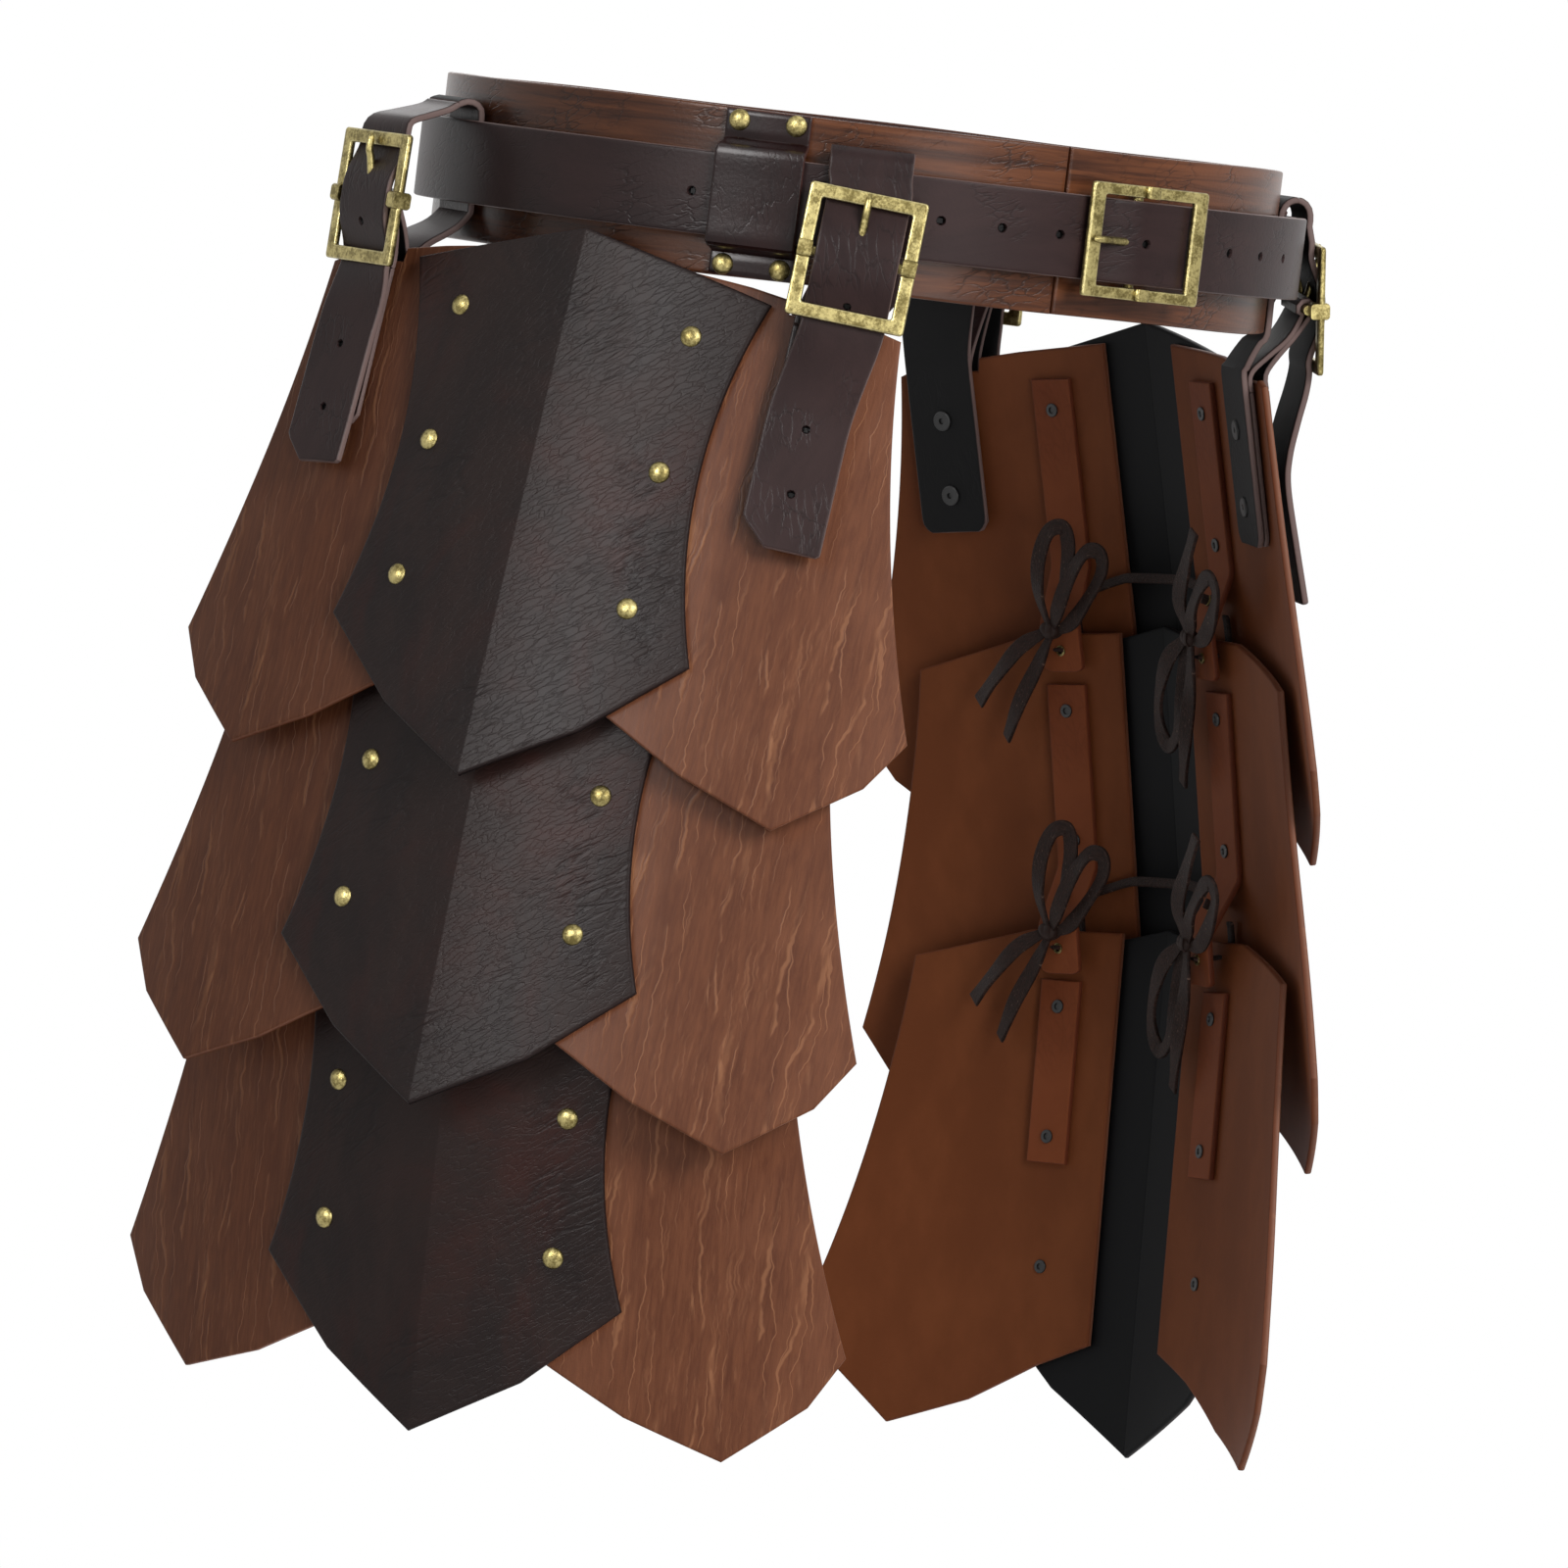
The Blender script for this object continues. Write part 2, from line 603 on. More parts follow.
def washer(place, axis, outer, bore, low, high):
    """A flat ring of two diameters: a rounded square section turned about an axis."""
    axis = unit(axis)
    ring = circle(axis)
    a = np.linspace(0, 2 * np.pi, 12, endpoint=False)
    r = (outer + bore) / 4 + (outer - bore) / 4 * squared(np.cos(a), 0.5)
    h = (low + high) / 2 + (high - low) / 2 * squared(np.sin(a), 0.5)
    return looped(place + ring[:, None] * r[None, :, None] + h[None, :, None] * axis)


# A domed head with a thin flange, on leather at height 0
HEAD = [(0, -0.3), (4.2, -0.3), (4.5, 0.1), (4.4, 0.5), (4.0, 0.9), (3.2, 1.55), (2.2, 2.05),
        (1.1, 2.3), (0, 2.38)]

# %% [markdown]
# ## The wide belt
# The wide belt is a ring of thick leather whose ends lap at the front: one end lies over
# a tongue. In plan both parts are arcs, so each is a grid of angle and height. Its top
# edge wavers by half a millimetre, as cut leather does.

# %% The wide belt
BELT_R, BELT_T, BELT_H, LAP_AT, LAP_GAP, LAP_LEN, SEAT = 181, 4.5, 70, 22, 0.12, 60, 0.3
PER_DEGREE = np.pi / 180 * BELT_R


def edge_steps(low, high, step):
    """Places from low to high at about one step, and closer together at both ends."""
    count = max(2, int((high - low - 2 * EVEN_FROM) / step))
    even = np.linspace(low + EVEN_FROM, high - EVEN_FROM, count)
    return np.concatenate([low + NEAR_EDGE, even, high - NEAR_EDGE[::-1]])


def cut_marks(part, across, along, number):
    """Adds the place on the flat leather, in metres; number keeps two pieces' patterns apart."""
    points, faces, marks = part
    flat = np.stack([across, along, np.full_like(across, number)], -1).reshape(-1, 3)
    marks["cut"] = np.tile(flat, (len(points) // len(flat), 1)) * MM
    return points, faces, marks


def band(start, end, middle_r, low, high, thick, number):
    """An arc of leather round the waist: angle by height."""
    along = edge_steps(start * PER_DEGREE, end * PER_DEGREE, 4)
    z = edge_steps(low, high, 5)
    length, height = np.meshgrid(along, z)
    waver = 0.5 * np.sin(length / 37) * np.sin(length / 91 + 1) * (height / high)
    grid = middle_r * out(length / PER_DEGREE) + (height + waver)[..., None] * UP
    return cut_marks(wall(grid, thick, 1), height, length, number)


tongue = LAP_LEN / PER_DEGREE
outer_layer = band(-LAP_AT + LAP_GAP, 360 - LAP_AT - LAP_GAP, BELT_R - BELT_T / 2, -BELT_H / 2,
                   BELT_H / 2, BELT_T, 10)
inner_layer = band(-LAP_AT - tongue, -LAP_AT + 4, BELT_R - 1.5 * BELT_T - SEAT, -BELT_H / 2 + 0.3,
                   BELT_H / 2 - 0.3, BELT_T, 40)
piece("wide_belt_leather", [outer_layer, inner_layer], BELT, "belt",
      replaces=["wide_belt"])

# %% [markdown]
# ## The narrow belt
# The narrow belt starts under its own buckle, goes once round the waist, rises over the
# buckle's bar and lies on itself again as far as the wearer's left front. Its radius is
# therefore a function of how far round it has come. The punched holes are real dents:
# extra grid lines run beside each hole, and the points inside its circle are pressed in.

# %% The narrow belt
STRAP_H, STRAP_T, BUCKLE_AT, FREE_REACH, PUNCH, PUNCH_PITCH = 35, 3.5, 11.5, 82, 4, 26
HANGER_W, HANGER_T, CHAPE_T, BAR_D = 35, 3, 2.5, 4.4
BELT_GAP = HANGER_T + HANGER_W ** 2 / 8 / BELT_R + 1.3
NARROW_R = BELT_R + BELT_GAP
NARROW_OUT_R = NARROW_R + STRAP_T
NARROW_TOP, NARROW_LOW, NARROW_MID = 16, -19, -1.5
BAR_R = BELT_R + 5.1
FOLD_R = BAR_D / 2 + 0.2 + CHAPE_T / 2
OVER_R = BAR_R + FOLD_R + CHAPE_T / 2 + SEAT + STRAP_T / 2
FREE_R = NARROW_OUT_R + 0.5 + STRAP_T / 2


def narrow_radius(a):
    """Outwards over the bar near 0, and one layer further out past it."""
    before = mix(OVER_R, NARROW_R + STRAP_T / 2, ease(-a / 7))
    after = mix(OVER_R, FREE_R, ease((a - 4.5) / 5))
    return np.where(a < 0, before, after)


def dents(x, y, holes, radius, depth=1.9):
    """How far each point is pressed in, and a mark that is 1 inside a hole."""
    inside = np.zeros(x.shape)
    for hx, hy in holes:
        inside = np.maximum(inside, (np.hypot(x - hx, y - hy) < radius * 0.93).astype(float))
    return inside * depth, inside


def narrow_belt():
    """Once round, over the bar and along itself, with seven holes before it and five past it."""
    holes_at = [*(-4 - i * PUNCH_PITCH / NARROW_R * 180 / np.pi for i in range(1, 8)),
                *(8 + i * PUNCH_PITCH / NARROW_R * 180 / np.pi for i in range(-1, 4))]
    per = np.pi / 180 * NARROW_R
    run = edge_steps(-351 * per, FREE_REACH * per, 3.5)
    run = add_near(run, [a * per for a in holes_at], PUNCH / 2)
    z = add_near(across_steps(STRAP_H / 2) * STRAP_H / 2, [0], PUNCH / 2)
    length, height = np.meshgrid(run, z)
    a = length / per
    tip = np.interp(FREE_REACH - a, [0, 1.2, 3.4, 99], [0.5, 0.78, 1, 1])
    rise = (NARROW_MID + height * tip)[..., None] * UP
    grid = narrow_radius(a)[..., None] * out(a - BUCKLE_AT) + rise
    press, inside = dents(length, height, [(h * per, 0) for h in holes_at], PUNCH / 2)
    part = cut_marks(wall(grid, STRAP_T, 1, press=press), height, length, 70)
    part[2]["hole"] = np.concatenate([inside.ravel(), 0 * inside.ravel()])
    return part


def fixed_end():
    """From the belt over the bar, round it and back behind the belt."""
    def at(a, r):
        return r * out(a - BUCKLE_AT) + NARROW_MID * UP
    turn = [at(0, BAR_R + FOLD_R * math.sin(t)) + FOLD_R * math.cos(t) * fwd(-BUCKLE_AT)
            for t in np.radians([90, 60, 30, 0, -30, -60, -90])]
    line = [at(9.6, NARROW_R + STRAP_T / 2), at(7, NARROW_R + STRAP_T / 2 + 0.4),
            at(4, BAR_R + FOLD_R - 0.1), *turn,
            *(at(a, BELT_R + 0.45 + CHAPE_T / 2) for a in (4, 9, 14))]
    line, run = smooth_line(line, 1.5)
    z, length = np.meshgrid(across_steps(STRAP_H / 2) * STRAP_H / 2, run, indexing="ij")
    grid = line[None] + z[..., None] * UP
    return cut_marks(wall(grid, CHAPE_T, -1), z, length, 90)


piece("narrow_belt_leather", [narrow_belt(), fixed_end()], STRAP, "belt",
      replaces=["narrow_belt"])

# %% [markdown]
# ## Keepers and belt rivets
# Three keepers hold the narrow belt down: one at each side of the front and one behind.
# Each is a short piece that lies flat at its two ends, where four domed rivets hold it,
# and steps up over the narrow belt between them.

# %% Keepers and belt rivets
KEEPER_W, KEEPER_T, KEEPER_AT = 36, 2.6, 63
# A tasset's hangers are numbered: the front one is 0 and the rear one 1
FRONT = 0
COVER = {("left", FRONT): FREE_R + STRAP_T / 2}


def cover_r(side, h):
    """Outer radius of what lies under a front hanger: two layers of belt on the left."""
    return COVER.get((side, h), NARROW_OUT_R)


def keeper(at, lift, number):
    """A profile of radius by height, carried round a short arc."""
    flat, raised = BELT_R + 0.1 + KEEPER_T / 2, lift + KEEPER_T / 2
    line = [(34.5, flat), (26, flat), (21.5, flat + 0.2), (18, raised - 0.9), (15.5, raised),
            (6, raised), (-9, raised), (-19.5, raised), (-21.6, raised - 1.4), (-24, flat + 0.2),
            (-28, flat), (-34.5, flat)]
    line, run = smooth_line([(r, 0, z) for z, r in line], 1.2)
    x, length = np.meshgrid(across_steps(KEEPER_W / 2) * KEEPER_W / 2, run, indexing="ij")
    grid = line[None, :, 0, None] * out(at + x / PER_DEGREE) + line[None, :, 2, None] * UP
    return cut_marks(wall(grid, KEEPER_T), x, length, number)


def lift_at(at):
    """The radius from which a keeper lies over the narrow belt."""
    return (cover_r("left", FRONT) if at == KEEPER_AT else NARROW_OUT_R) + 0.7


KEEPERS = (-KEEPER_AT, KEEPER_AT, 180)
BELT_BACK = [(0, -1.2), (3.4, -1.2), (3.6, -0.9), (3.4, -0.2), (0, -0.2)]


def belt_studs(profile, radius):
    """The same turned part at the four rivets of each keeper."""
    return [turned(profile, radius * out(a + da / PER_DEGREE) + z * UP, out(a))
            for a in KEEPERS for da in (-12, 12) for z in (-30, 30)]


piece("keeper_leather_bands", [keeper(a, lift_at(a), 100 + 20 * k) for k, a in enumerate(KEEPERS)],
      KEEPER, "belt", replaces=["keepers"])
piece("belt_rivet_heads", belt_studs(HEAD, BELT_R + KEEPER_T + 0.2), BRASS, "belt",
      replaces=["belt_rivets"])
piece("belt_rivet_backs", belt_studs(BELT_BACK, BELT_R - BELT_T), BLACK, "belt")

# %% [markdown]
# ## Buckles
# Every buckle is a flat frame with a centre bar set back behind it, and a prong that
# turns on the bar. The frame's corners are nearly sharp outside and inside, and its bar
# has a softened square section. One function draws a buckle in its own axes: x along the
# bar, y outwards and z up. The belt buckle is the same thing turned on its side.

# %% Buckle parts
FRAME_T, BAR_BACK = 3, 4.8


def rounded_rectangle(w, h, r):
    """Four quarter circles of five points each, joined by straight sides."""
    t = np.radians(np.linspace(0, 90, 5))
    parts = []
    for k, (sx, sz) in enumerate(((1, 1), (-1, 1), (-1, -1), (1, -1))):
        a = t + k * np.pi / 2
        parts.append(np.stack([sx * (w / 2 - r) + r * np.cos(a),
                               sz * (h / 2 - r) + r * np.sin(a)], -1))
    return np.concatenate(parts)


def buckle_frame(w, h, rail_x, rail_z, place):
    """Outer and inner outline, and between them a softened square section."""
    outer = rounded_rectangle(w, h, 1.6)
    inner = rounded_rectangle(w - 2 * rail_x, h - 2 * rail_z, 1.0)
    a = np.linspace(0, 2 * np.pi, 20, endpoint=False)
    c, s = np.cos(a), np.sin(a)
    share = 0.5 - 0.5 * squared(c, 0.4)
    y = FRAME_T / 2 * squared(s, 0.55)
    flat = outer[:, None] + (inner - outer)[:, None] * share[None, :, None]
    grid = np.stack([flat[..., 0], np.broadcast_to(y, flat.shape[:2]), flat[..., 1]], -1)
    worn = np.clip(1 - np.abs(np.abs(c) - np.abs(s)) * 2, 0, 1)
    return looped(place(grid), {"edge": np.tile(worn, len(outer))})


def centre_bar(half, rail, depth, place):
    """A round bar between two lugs that reach back from the frame."""
    x = np.array([-1.0, -0.97, -0.5, 0, 0.5, 0.97, 1.0]) * (half - rail + 1)
    line = np.stack([x, 0 * x - depth, 0 * x], -1)
    side = place(np.array([0, 0, 1.0])) - place(np.zeros(3))
    parts = [swept(place(line), [BAR_D / 2] * 7, side)]
    lug = BAR_D / 2 + 1.4
    loop = rounded_rectangle(2 * lug, depth + lug, 1.5) + [0, -(depth - lug) / 2]
    for s in (-1, 1):
        x = s * np.array([half - rail, half - rail + 0.4, half - 0.4, half])
        grow = np.array([0.92, 1, 1, 0.92])
        body = np.stack([np.broadcast_to(x[:, None], (4, len(loop))),
                         loop[None, :, 1] * np.ones((4, 1)), loop[None, :, 0] * grow[:, None]], -1)
        poles = np.stack([x[[0, -1]], [-depth / 2] * 2, [0, 0]], -1)
        parts.append(rings(place(body), place(poles)))
    return parts


def prong(reach, height, depth, place):
    """A ring round the bar and a tapering arm whose tip lies on the frame."""
    line = [(0, 2.6, -1.5), (0, 3.4, 2.0), (0, mix(3.4, height, 0.35), reach * 0.3),
            (0, mix(3.4, height, 0.75), reach * 0.62), (0, height, reach - 7),
            (0, height + 0.15, reach - 3), (0, height, reach)]
    line = smooth_line(np.array(line) - [0, depth, 0], 1.2)[0]
    t = np.linspace(0, 1, len(line))
    radius = 1.95 - 0.45 * t
    radius = np.concatenate([[0.8], radius[1:-2], [radius[-2] * 0.8, 0.5]])
    side = place(np.array([1.0, 0, 0])) - place(np.zeros(3))
    a = np.linspace(0, 2 * np.pi, 24, endpoint=False)
    b = np.linspace(0, 2 * np.pi, 10, endpoint=False)
    r = BAR_D / 2 + 1.05 + 0.85 * np.cos(b)
    x = 2.0 * squared(np.sin(b), 0.6)
    eye = np.stack([np.broadcast_to(x, (24, 10)), np.cos(a)[:, None] * r - depth,
                    np.sin(a)[:, None] * r], -1)
    return [swept(place(line), radius, side), looped(place(eye))]


# %% [markdown]
# The belt buckle stands on the wearer's right of the middle. Its frame tips outwards
# where the free end passes under it, and its prong points back along the belt.

# %% The belt buckle
FRAME_R, BELT_TILT = NARROW_OUT_R + 2.2 + FRAME_T / 2, 4


def belt_place(tilt):
    """Puts buckle axes on the belt: x is up, y outwards and z towards the wearer's right."""
    c, s = math.cos(math.radians(tilt)), math.sin(math.radians(tilt))
    o, f = out(-BUCKLE_AT), fwd(-BUCKLE_AT)

    def place(p):
        p = np.asarray(p, float)
        y = p[..., 1] * c - p[..., 2] * s
        z = p[..., 2] * c + p[..., 1] * s
        x = NARROW_MID + p[..., 0]
        return (FRAME_R + y)[..., None] * o + z[..., None] * f + x[..., None] * UP
    return place


piece("belt_buckle_frame", [buckle_frame(48, 60, 5, 7, belt_place(BELT_TILT)),
                            *centre_bar(24, 5, FRAME_R - BAR_R, belt_place(0))],
      BRASS, "belt", replaces=["belt_frame"])
tip_height = FRAME_R - BAR_R - math.tan(math.radians(BELT_TILT)) * 30 + FRAME_T / 2 + 2.3
piece("belt_buckle_prong", prong(29, tip_height, FRAME_R - BAR_R, belt_place(0)),
      BRASS, "belt_prong", replaces=["belt_prong"])

# %% [markdown]
# ## The shape of a lame
# A lame is a sheet folded along its ridge. From the fold each wing bends away with its
# own radius, so a place on it is the distance u along the leather from the ridge, the
# distance v down from the peak, and the depth d below the outer face. Each lame has
# three axes: forwards, outwards and down its ridge. The next lame hangs one pitch lower,
# inside the last one.

# %% Lame geometry
# A tasset faces the direction FACE; its peak is at PLACE, RIDGE_R from the centre
FACE, PLACE, RIDGE_R, PITCH, FOLD = 79, 85, 194, 136, 5.5
RIDGE_T, SIDE_T = 3.5, 3.2
FRONT_BEND_R, REAR_BEND_R = 313.0, 600.0
DROP, LEAN = {"right": 22, "left": 38}, {"right": 0, "left": 5}
FLARE = [13, 9.5, -1.5]
SIDE_D = RIDGE_T + SEAT
INNER_D = SIDE_D + SIDE_T
INSET = INNER_D + 1.3
LAMES = ["upper", "middle", "lower"]


def lame_axes(side, i):
    """Forward, outward and downward axes: tipped by the flare, then turned by the lean."""
    f, w = math.radians(FLARE[i]), math.radians(LEAN[side])
    outward = math.cos(f) * out(FACE) + math.sin(f) * UP
    plumb = math.sin(f) * out(FACE) - math.cos(f) * UP
    return (math.cos(w) * fwd(FACE) - math.sin(w) * plumb, outward,
            math.cos(w) * plumb + math.sin(w) * fwd(FACE))


def lame_top(side, i):
    """The peak: one pitch down the lame above and one inset inwards."""
    if i == 0:
        return RIDGE_R * out(PLACE) - DROP[side] * UP
    _, outward, down = lame_axes(side, i - 1)
    return lame_top(side, i - 1) + PITCH * down - INSET * outward


def bend(u):
    """Bend radius and slope of the wing at u."""
    r = np.where(u >= 0, FRONT_BEND_R, REAR_BEND_R)
    return r, np.radians(FOLD) + np.abs(u) / r


def skin(side, i, u, v, d):
    """A place on a lame: along an arc of the wing's radius, then inwards by d, then down by v."""
    u, v, d = np.broadcast_arrays(np.asarray(u, float), np.asarray(v, float), np.asarray(d, float))
    r, a = bend(u)
    start = math.radians(FOLD)
    x = np.sign(u) * (r * (np.sin(a) - math.sin(start)) - d * np.sin(a))
    y = -r * (math.cos(start) - np.cos(a)) - d * np.cos(a)
    f, o, w = lame_axes(side, i)
    return lame_top(side, i) + x[..., None] * f + y[..., None] * o + v[..., None] * w


def along_skin(side, i, u):
    """Direction forwards along the leather at u."""
    _, a = bend(np.asarray(u, float))
    f, o, _ = lame_axes(side, i)
    return np.cos(a) * f - np.sign(u) * np.sin(a) * o


def outward_at(side, i, u):
    """Direction square to the leather at u, outwards."""
    _, a = bend(np.asarray(u, float))
    f, o, _ = lame_axes(side, i)
    return np.sign(u) * np.sin(a) * f + np.cos(a) * o


# %% [markdown]
# ## Bows
# The bows are the only lengths on the skirt that hang free. Each knot lets go two tails
# and two loops of flat lace, and each of these is a cord with its own length. Each
# follows a few points: forwards, upwards and inwards from its knot, the same ones that
# the solids use.

# %% The bows' lines
LACE_W, LACE_T, BOW_W, LOOP_FROM = 4.4, 1.8, 7, 90
RIVET_U = 56
TAB_D, TAB_T = INNER_D + SEAT, 2.8
# Heights v on a lame: the rivets, where the tab steps in and ends, the upper eyelet, the
# axis that the next lame swings on, and the knots
RIVETS_V = [38, 96.5, 155]
TAB_BEND_V, TAB_LOW_V, TAB_END_V = 108.5, 133, 155
HIGH_V, HINGE_V = 121, 138.8
KNOT_V, KNOT_R = 135, 4.4
BOWS = [
    [[(-5, -0.6, 1.4), (-15, -7, 4.5), (-30, -20, 5), (-44, -32, 3)],
     [(-2.4, -4.6, -0.8), (-9, -16, 1.5), (-20, -32, 3), (-31, -49, 2)],
     [(4.6, 2.4, 1.8), (11, 12, 5), (20, 25, 6), (30, 36, 5), (37, 35, 4), (35, 26, 2.5),
      (23, 13, 1), (11, 3, -0.6), (5, -0.8, -1.4)],
     [(-0.8, 5, 1.8), (1, 18, 6), (6, 34, 8.5), (13, 46, 8), (20, 47, 6), (19, 36, 4),
      (11, 19, 1.5), (5, 9.5, -0.4), (2.4, 5, -1.6)]],
    [[(1, -5, -0.6), (-1, -22, 2), (-8, -44, 4), (-18, -67, 3)],
     [(-0.4, 5, 1.8), (7, 19, 7), (20, 34, 8.5), (29, 50, 6)],
     [(-4.8, -0.6, 1.8), (-16, -10, 5), (-28, -27, 6), (-32, -42, 5), (-27, -50, 4),
      (-18, -44, 3), (-12, -26, 1), (-7.5, -11, -0.4), (-4.4, -3.8, -1.4)],
     [(4.6, 1.6, 1.8), (15, 14, 4.5), (28, 26, 5), (37, 30, 4.5), (39, 23, 3), (31, 13, 1.5),
      (18, 2.5, 0), (10, -1, -0.8), (5, -2.4, -1.4)]]]


def turn_in(i):
    """How sharply the next lame turns inwards."""
    return math.sin(math.radians(FLARE[i] - FLARE[i + 1]))


def tab_step(i):
    """Depth of a tab below its step, where it lies round the next lame."""
    return INSET + INNER_D + 3.2 + (TAB_END_V - HINGE_V) * math.sin(math.radians(5.5 * i)) \
        + (TAB_END_V - PITCH) * turn_in(i)


def low_v(i):
    """Place of a tab's lower eyelet."""
    return 146 - 14 * turn_in(i)


def bow_point(side, i, s, p):
    """From the knot: forwards along the leather, up the lame and inwards."""
    p = np.asarray(p, float)
    _, o, w = lame_axes(side, i)
    knot = skin(side, i, s * RIVET_U, KNOT_V, tab_step(i) + TAB_T + KNOT_R + 0.9)
    return (knot + p[..., 0, None] * along_skin(side, i, s * RIVET_U)
            - p[..., 1, None] * w - p[..., 2, None] * o)


def flat_lace(points, number, facing=None, wide=None):
    """A flat strip, as its part, its line and its length.

    Where the direction of its width is given, it keeps to that. A free strand has the way
    that it faces instead: it swings a little, and spreads from the width in the knot to its
    own. A loop, which is longer than LOOP_FROM, narrows again at its end."""
    line, run = smooth_line(points, 1.0)
    if wide is None:
        full, tangent = BOW_W, unit(np.gradient(line, axis=0))
        side = unit(np.cross(tangent, facing))
        swing = 0.35 * np.sin(run / 9 + number)[:, None]
        side = unit(side + swing * np.cross(side, tangent))
    else:
        full, side = LACE_W, np.broadcast_to(wide, line.shape)
    grow = ease(run / 12) * (ease((run[-1] - run) / 12) if run[-1] > LOOP_FROM else 1)
    x = np.array([-1, -0.93, -0.75, -0.4, 0, 0.4, 0.75, 0.93, 1]) / 2
    width = mix(LACE_W, full, grow)
    grid = line[None] + (x[:, None] * width)[..., None] * side[None]
    across, along = np.meshgrid(x * full, run, indexing="ij")
    part = wall(grid, LACE_T, 1, edge_r=0.5, square=0.55)
    return cut_marks(part, across, along, number), line, run[-1]


# %% Bows as cords
KNOT = [(0, -4.4), (1.7, -4.3), (3.0, -3.4), (3.7, -1.6), (3.9, 0), (3.7, 1.6), (3.0, 3.4),
        (1.7, 4.3), (0, 4.4)]
WRAP_R, WRAP_T, WRAP_W = 3.6, 1.2, 3.8


def make_knot(centre, outward, down, across):
    """A round core and two turns of lace round it, each tipped its own way."""
    parts = [turned(KNOT, centre, across)]
    t = np.linspace(0, 2 * np.pi, 40, endpoint=False)
    b = np.linspace(0, 2 * np.pi, 10, endpoint=False)
    for k, lift in enumerate((0.55, -0.5)):
        loop = centre + (WRAP_R * np.cos(t))[:, None] * -down \
            + (WRAP_R * np.sin(t))[:, None] * outward \
            + (1.7 * lift * np.sin(t * 2 + k))[:, None] * across
        ring = unit(loop - centre)
        grid = loop[:, None] + (WRAP_T / 2 * np.cos(b))[None, :, None] * ring[:, None] \
            + (WRAP_W / 2 * np.sin(b))[None, :, None] * across
        parts.append(looped(grid + 1.3 * (k - 0.5) * across))
    return parts


def make_bows(side, i):
    """One cord for each strand, and one knot of wrapped lace at each side of the ridge."""
    mirror = np.array([SIDES[side], 1, 1])
    body = f"{side}_{LAMES[i + 1]}_lame"
    knots, lengths = [], []
    for s, end, strands in ((-1, "rear", BOWS[0]), (1, "front", BOWS[1])):
        _, o, w = lame_axes(side, i)
        knots += make_knot(bow_point(side, i, s, (0, 0, 0)), o, w, along_skin(side, i, s * RIVET_U))
        for j, strand in enumerate(strands):
            strand = np.array(strand, float)
            loop_back = len(strand) > 4
            for n in (0, -1) if loop_back else (0,):
                strand[n] *= 0.6 * KNOT_R / np.linalg.norm(strand[n])
            points = bow_point(side, i, s, strand)
            part, line, length = flat_lace(points, 200 + 17 * j + 5 * s, facing=o)
            cord = piece(f"{side}_{LAMES[i]}_{end}_bow_strand_{j}", [part], LACE, body,
                         SIDES[side], [f"{side}_{LAMES[i]}_bows"])
            (line[0] * mirror * MM).tolist()
            round(length * MM, 4)
            (line * mirror * MM).tolist()
            lengths.append(round(length))
    piece(f"{side}_{LAMES[i]}_bow_knots", knots, LACE, body, SIDES[side],
          [f"{side}_{LAMES[i]}_bows"])
    return lengths


for side in SIDES:
    for i in (0, 1):
        print(side, LAMES[i], "bow strands, mm:", make_bows(side, i))

# %% [markdown]
# ## Plates
# Ridge and side plates are cut from flat leather to a many-cornered outline. A grid fits
# such an outline when its top row follows the top edge, its bottom row follows the
# points below, and the rows between them are blends. Extra grid lines stand at every
# corner, at the cut edges and beside the fold.

# %% Ridge plates
SHOULDER_U, WAIST_U, SHOULDER_V, LOW_V, RIDGE_LEN = 86, 72, 18.5, 174, 236
# The corner between shoulder and point, as a share of the width and a height
CORNER_S, CORNER_V = 0.544, 209
FOLD_STEPS = [-0.04, -0.018, -0.006, 0.0, 0.006, 0.018, 0.04]


def share_steps(marks, count, length, ends=(0.0, 1.0)):
    """Shares from one end to the other: even steps, all marks, and fine steps at both ends."""
    near = NEAR_EDGE[1:] / length * (ends[1] - ends[0])
    every = np.concatenate([np.linspace(*ends, count), marks, ends[0] + near, ends[1] - near])
    every = np.unique(np.round(every, 5))
    keep = np.ones(len(every), bool)
    firm = np.round(np.concatenate([marks, ends, ends[0] + near, ends[1] - near]), 5)
    for k in range(1, len(every) - 1):
        close = min(every[k] - every[k - 1], every[k + 1] - every[k]) * length / (ends[1] - ends[0])
        keep[k] = close > 0.2 or bool(np.any(np.abs(every[k] - firm) < 1e-6))
    return every[keep]


def ridge_plate(side, i):
    """s runs from the rear shoulder (-1) to the front one (1), t from the top edge down."""
    s = share_steps([-CORNER_S, CORNER_S, *FOLD_STEPS], 67, 2 * SHOULDER_U, (-1.0, 1.0))
    t = share_steps([], 90, 200)
    s, t = np.meshgrid(s, t)
    width = SHOULDER_U + t - 4 * (SHOULDER_U - WAIST_U) * t * (1 - t)
    top = SHOULDER_V * np.abs(s)
    low = np.interp(np.abs(s), [0, CORNER_S, 1], [RIDGE_LEN, CORNER_V, LOW_V])
    u, v = s * width, mix(top, low, t)
    lift = 0.35 * np.sin(v / 21 + i) * np.abs(s) ** 3
    grid = skin(side, i, u, v, RIDGE_T / 2 - lift)
    return cut_marks(wall(grid, RIDGE_T, 1, edge_r=1.3, square=0.45), u, v, 300 + 31 * i)


# %% Side plates
HANGER_U, NOTCH_V = [112, -117], 20
SIDE_IN_U, SIDE_OUT_U = 25, 183


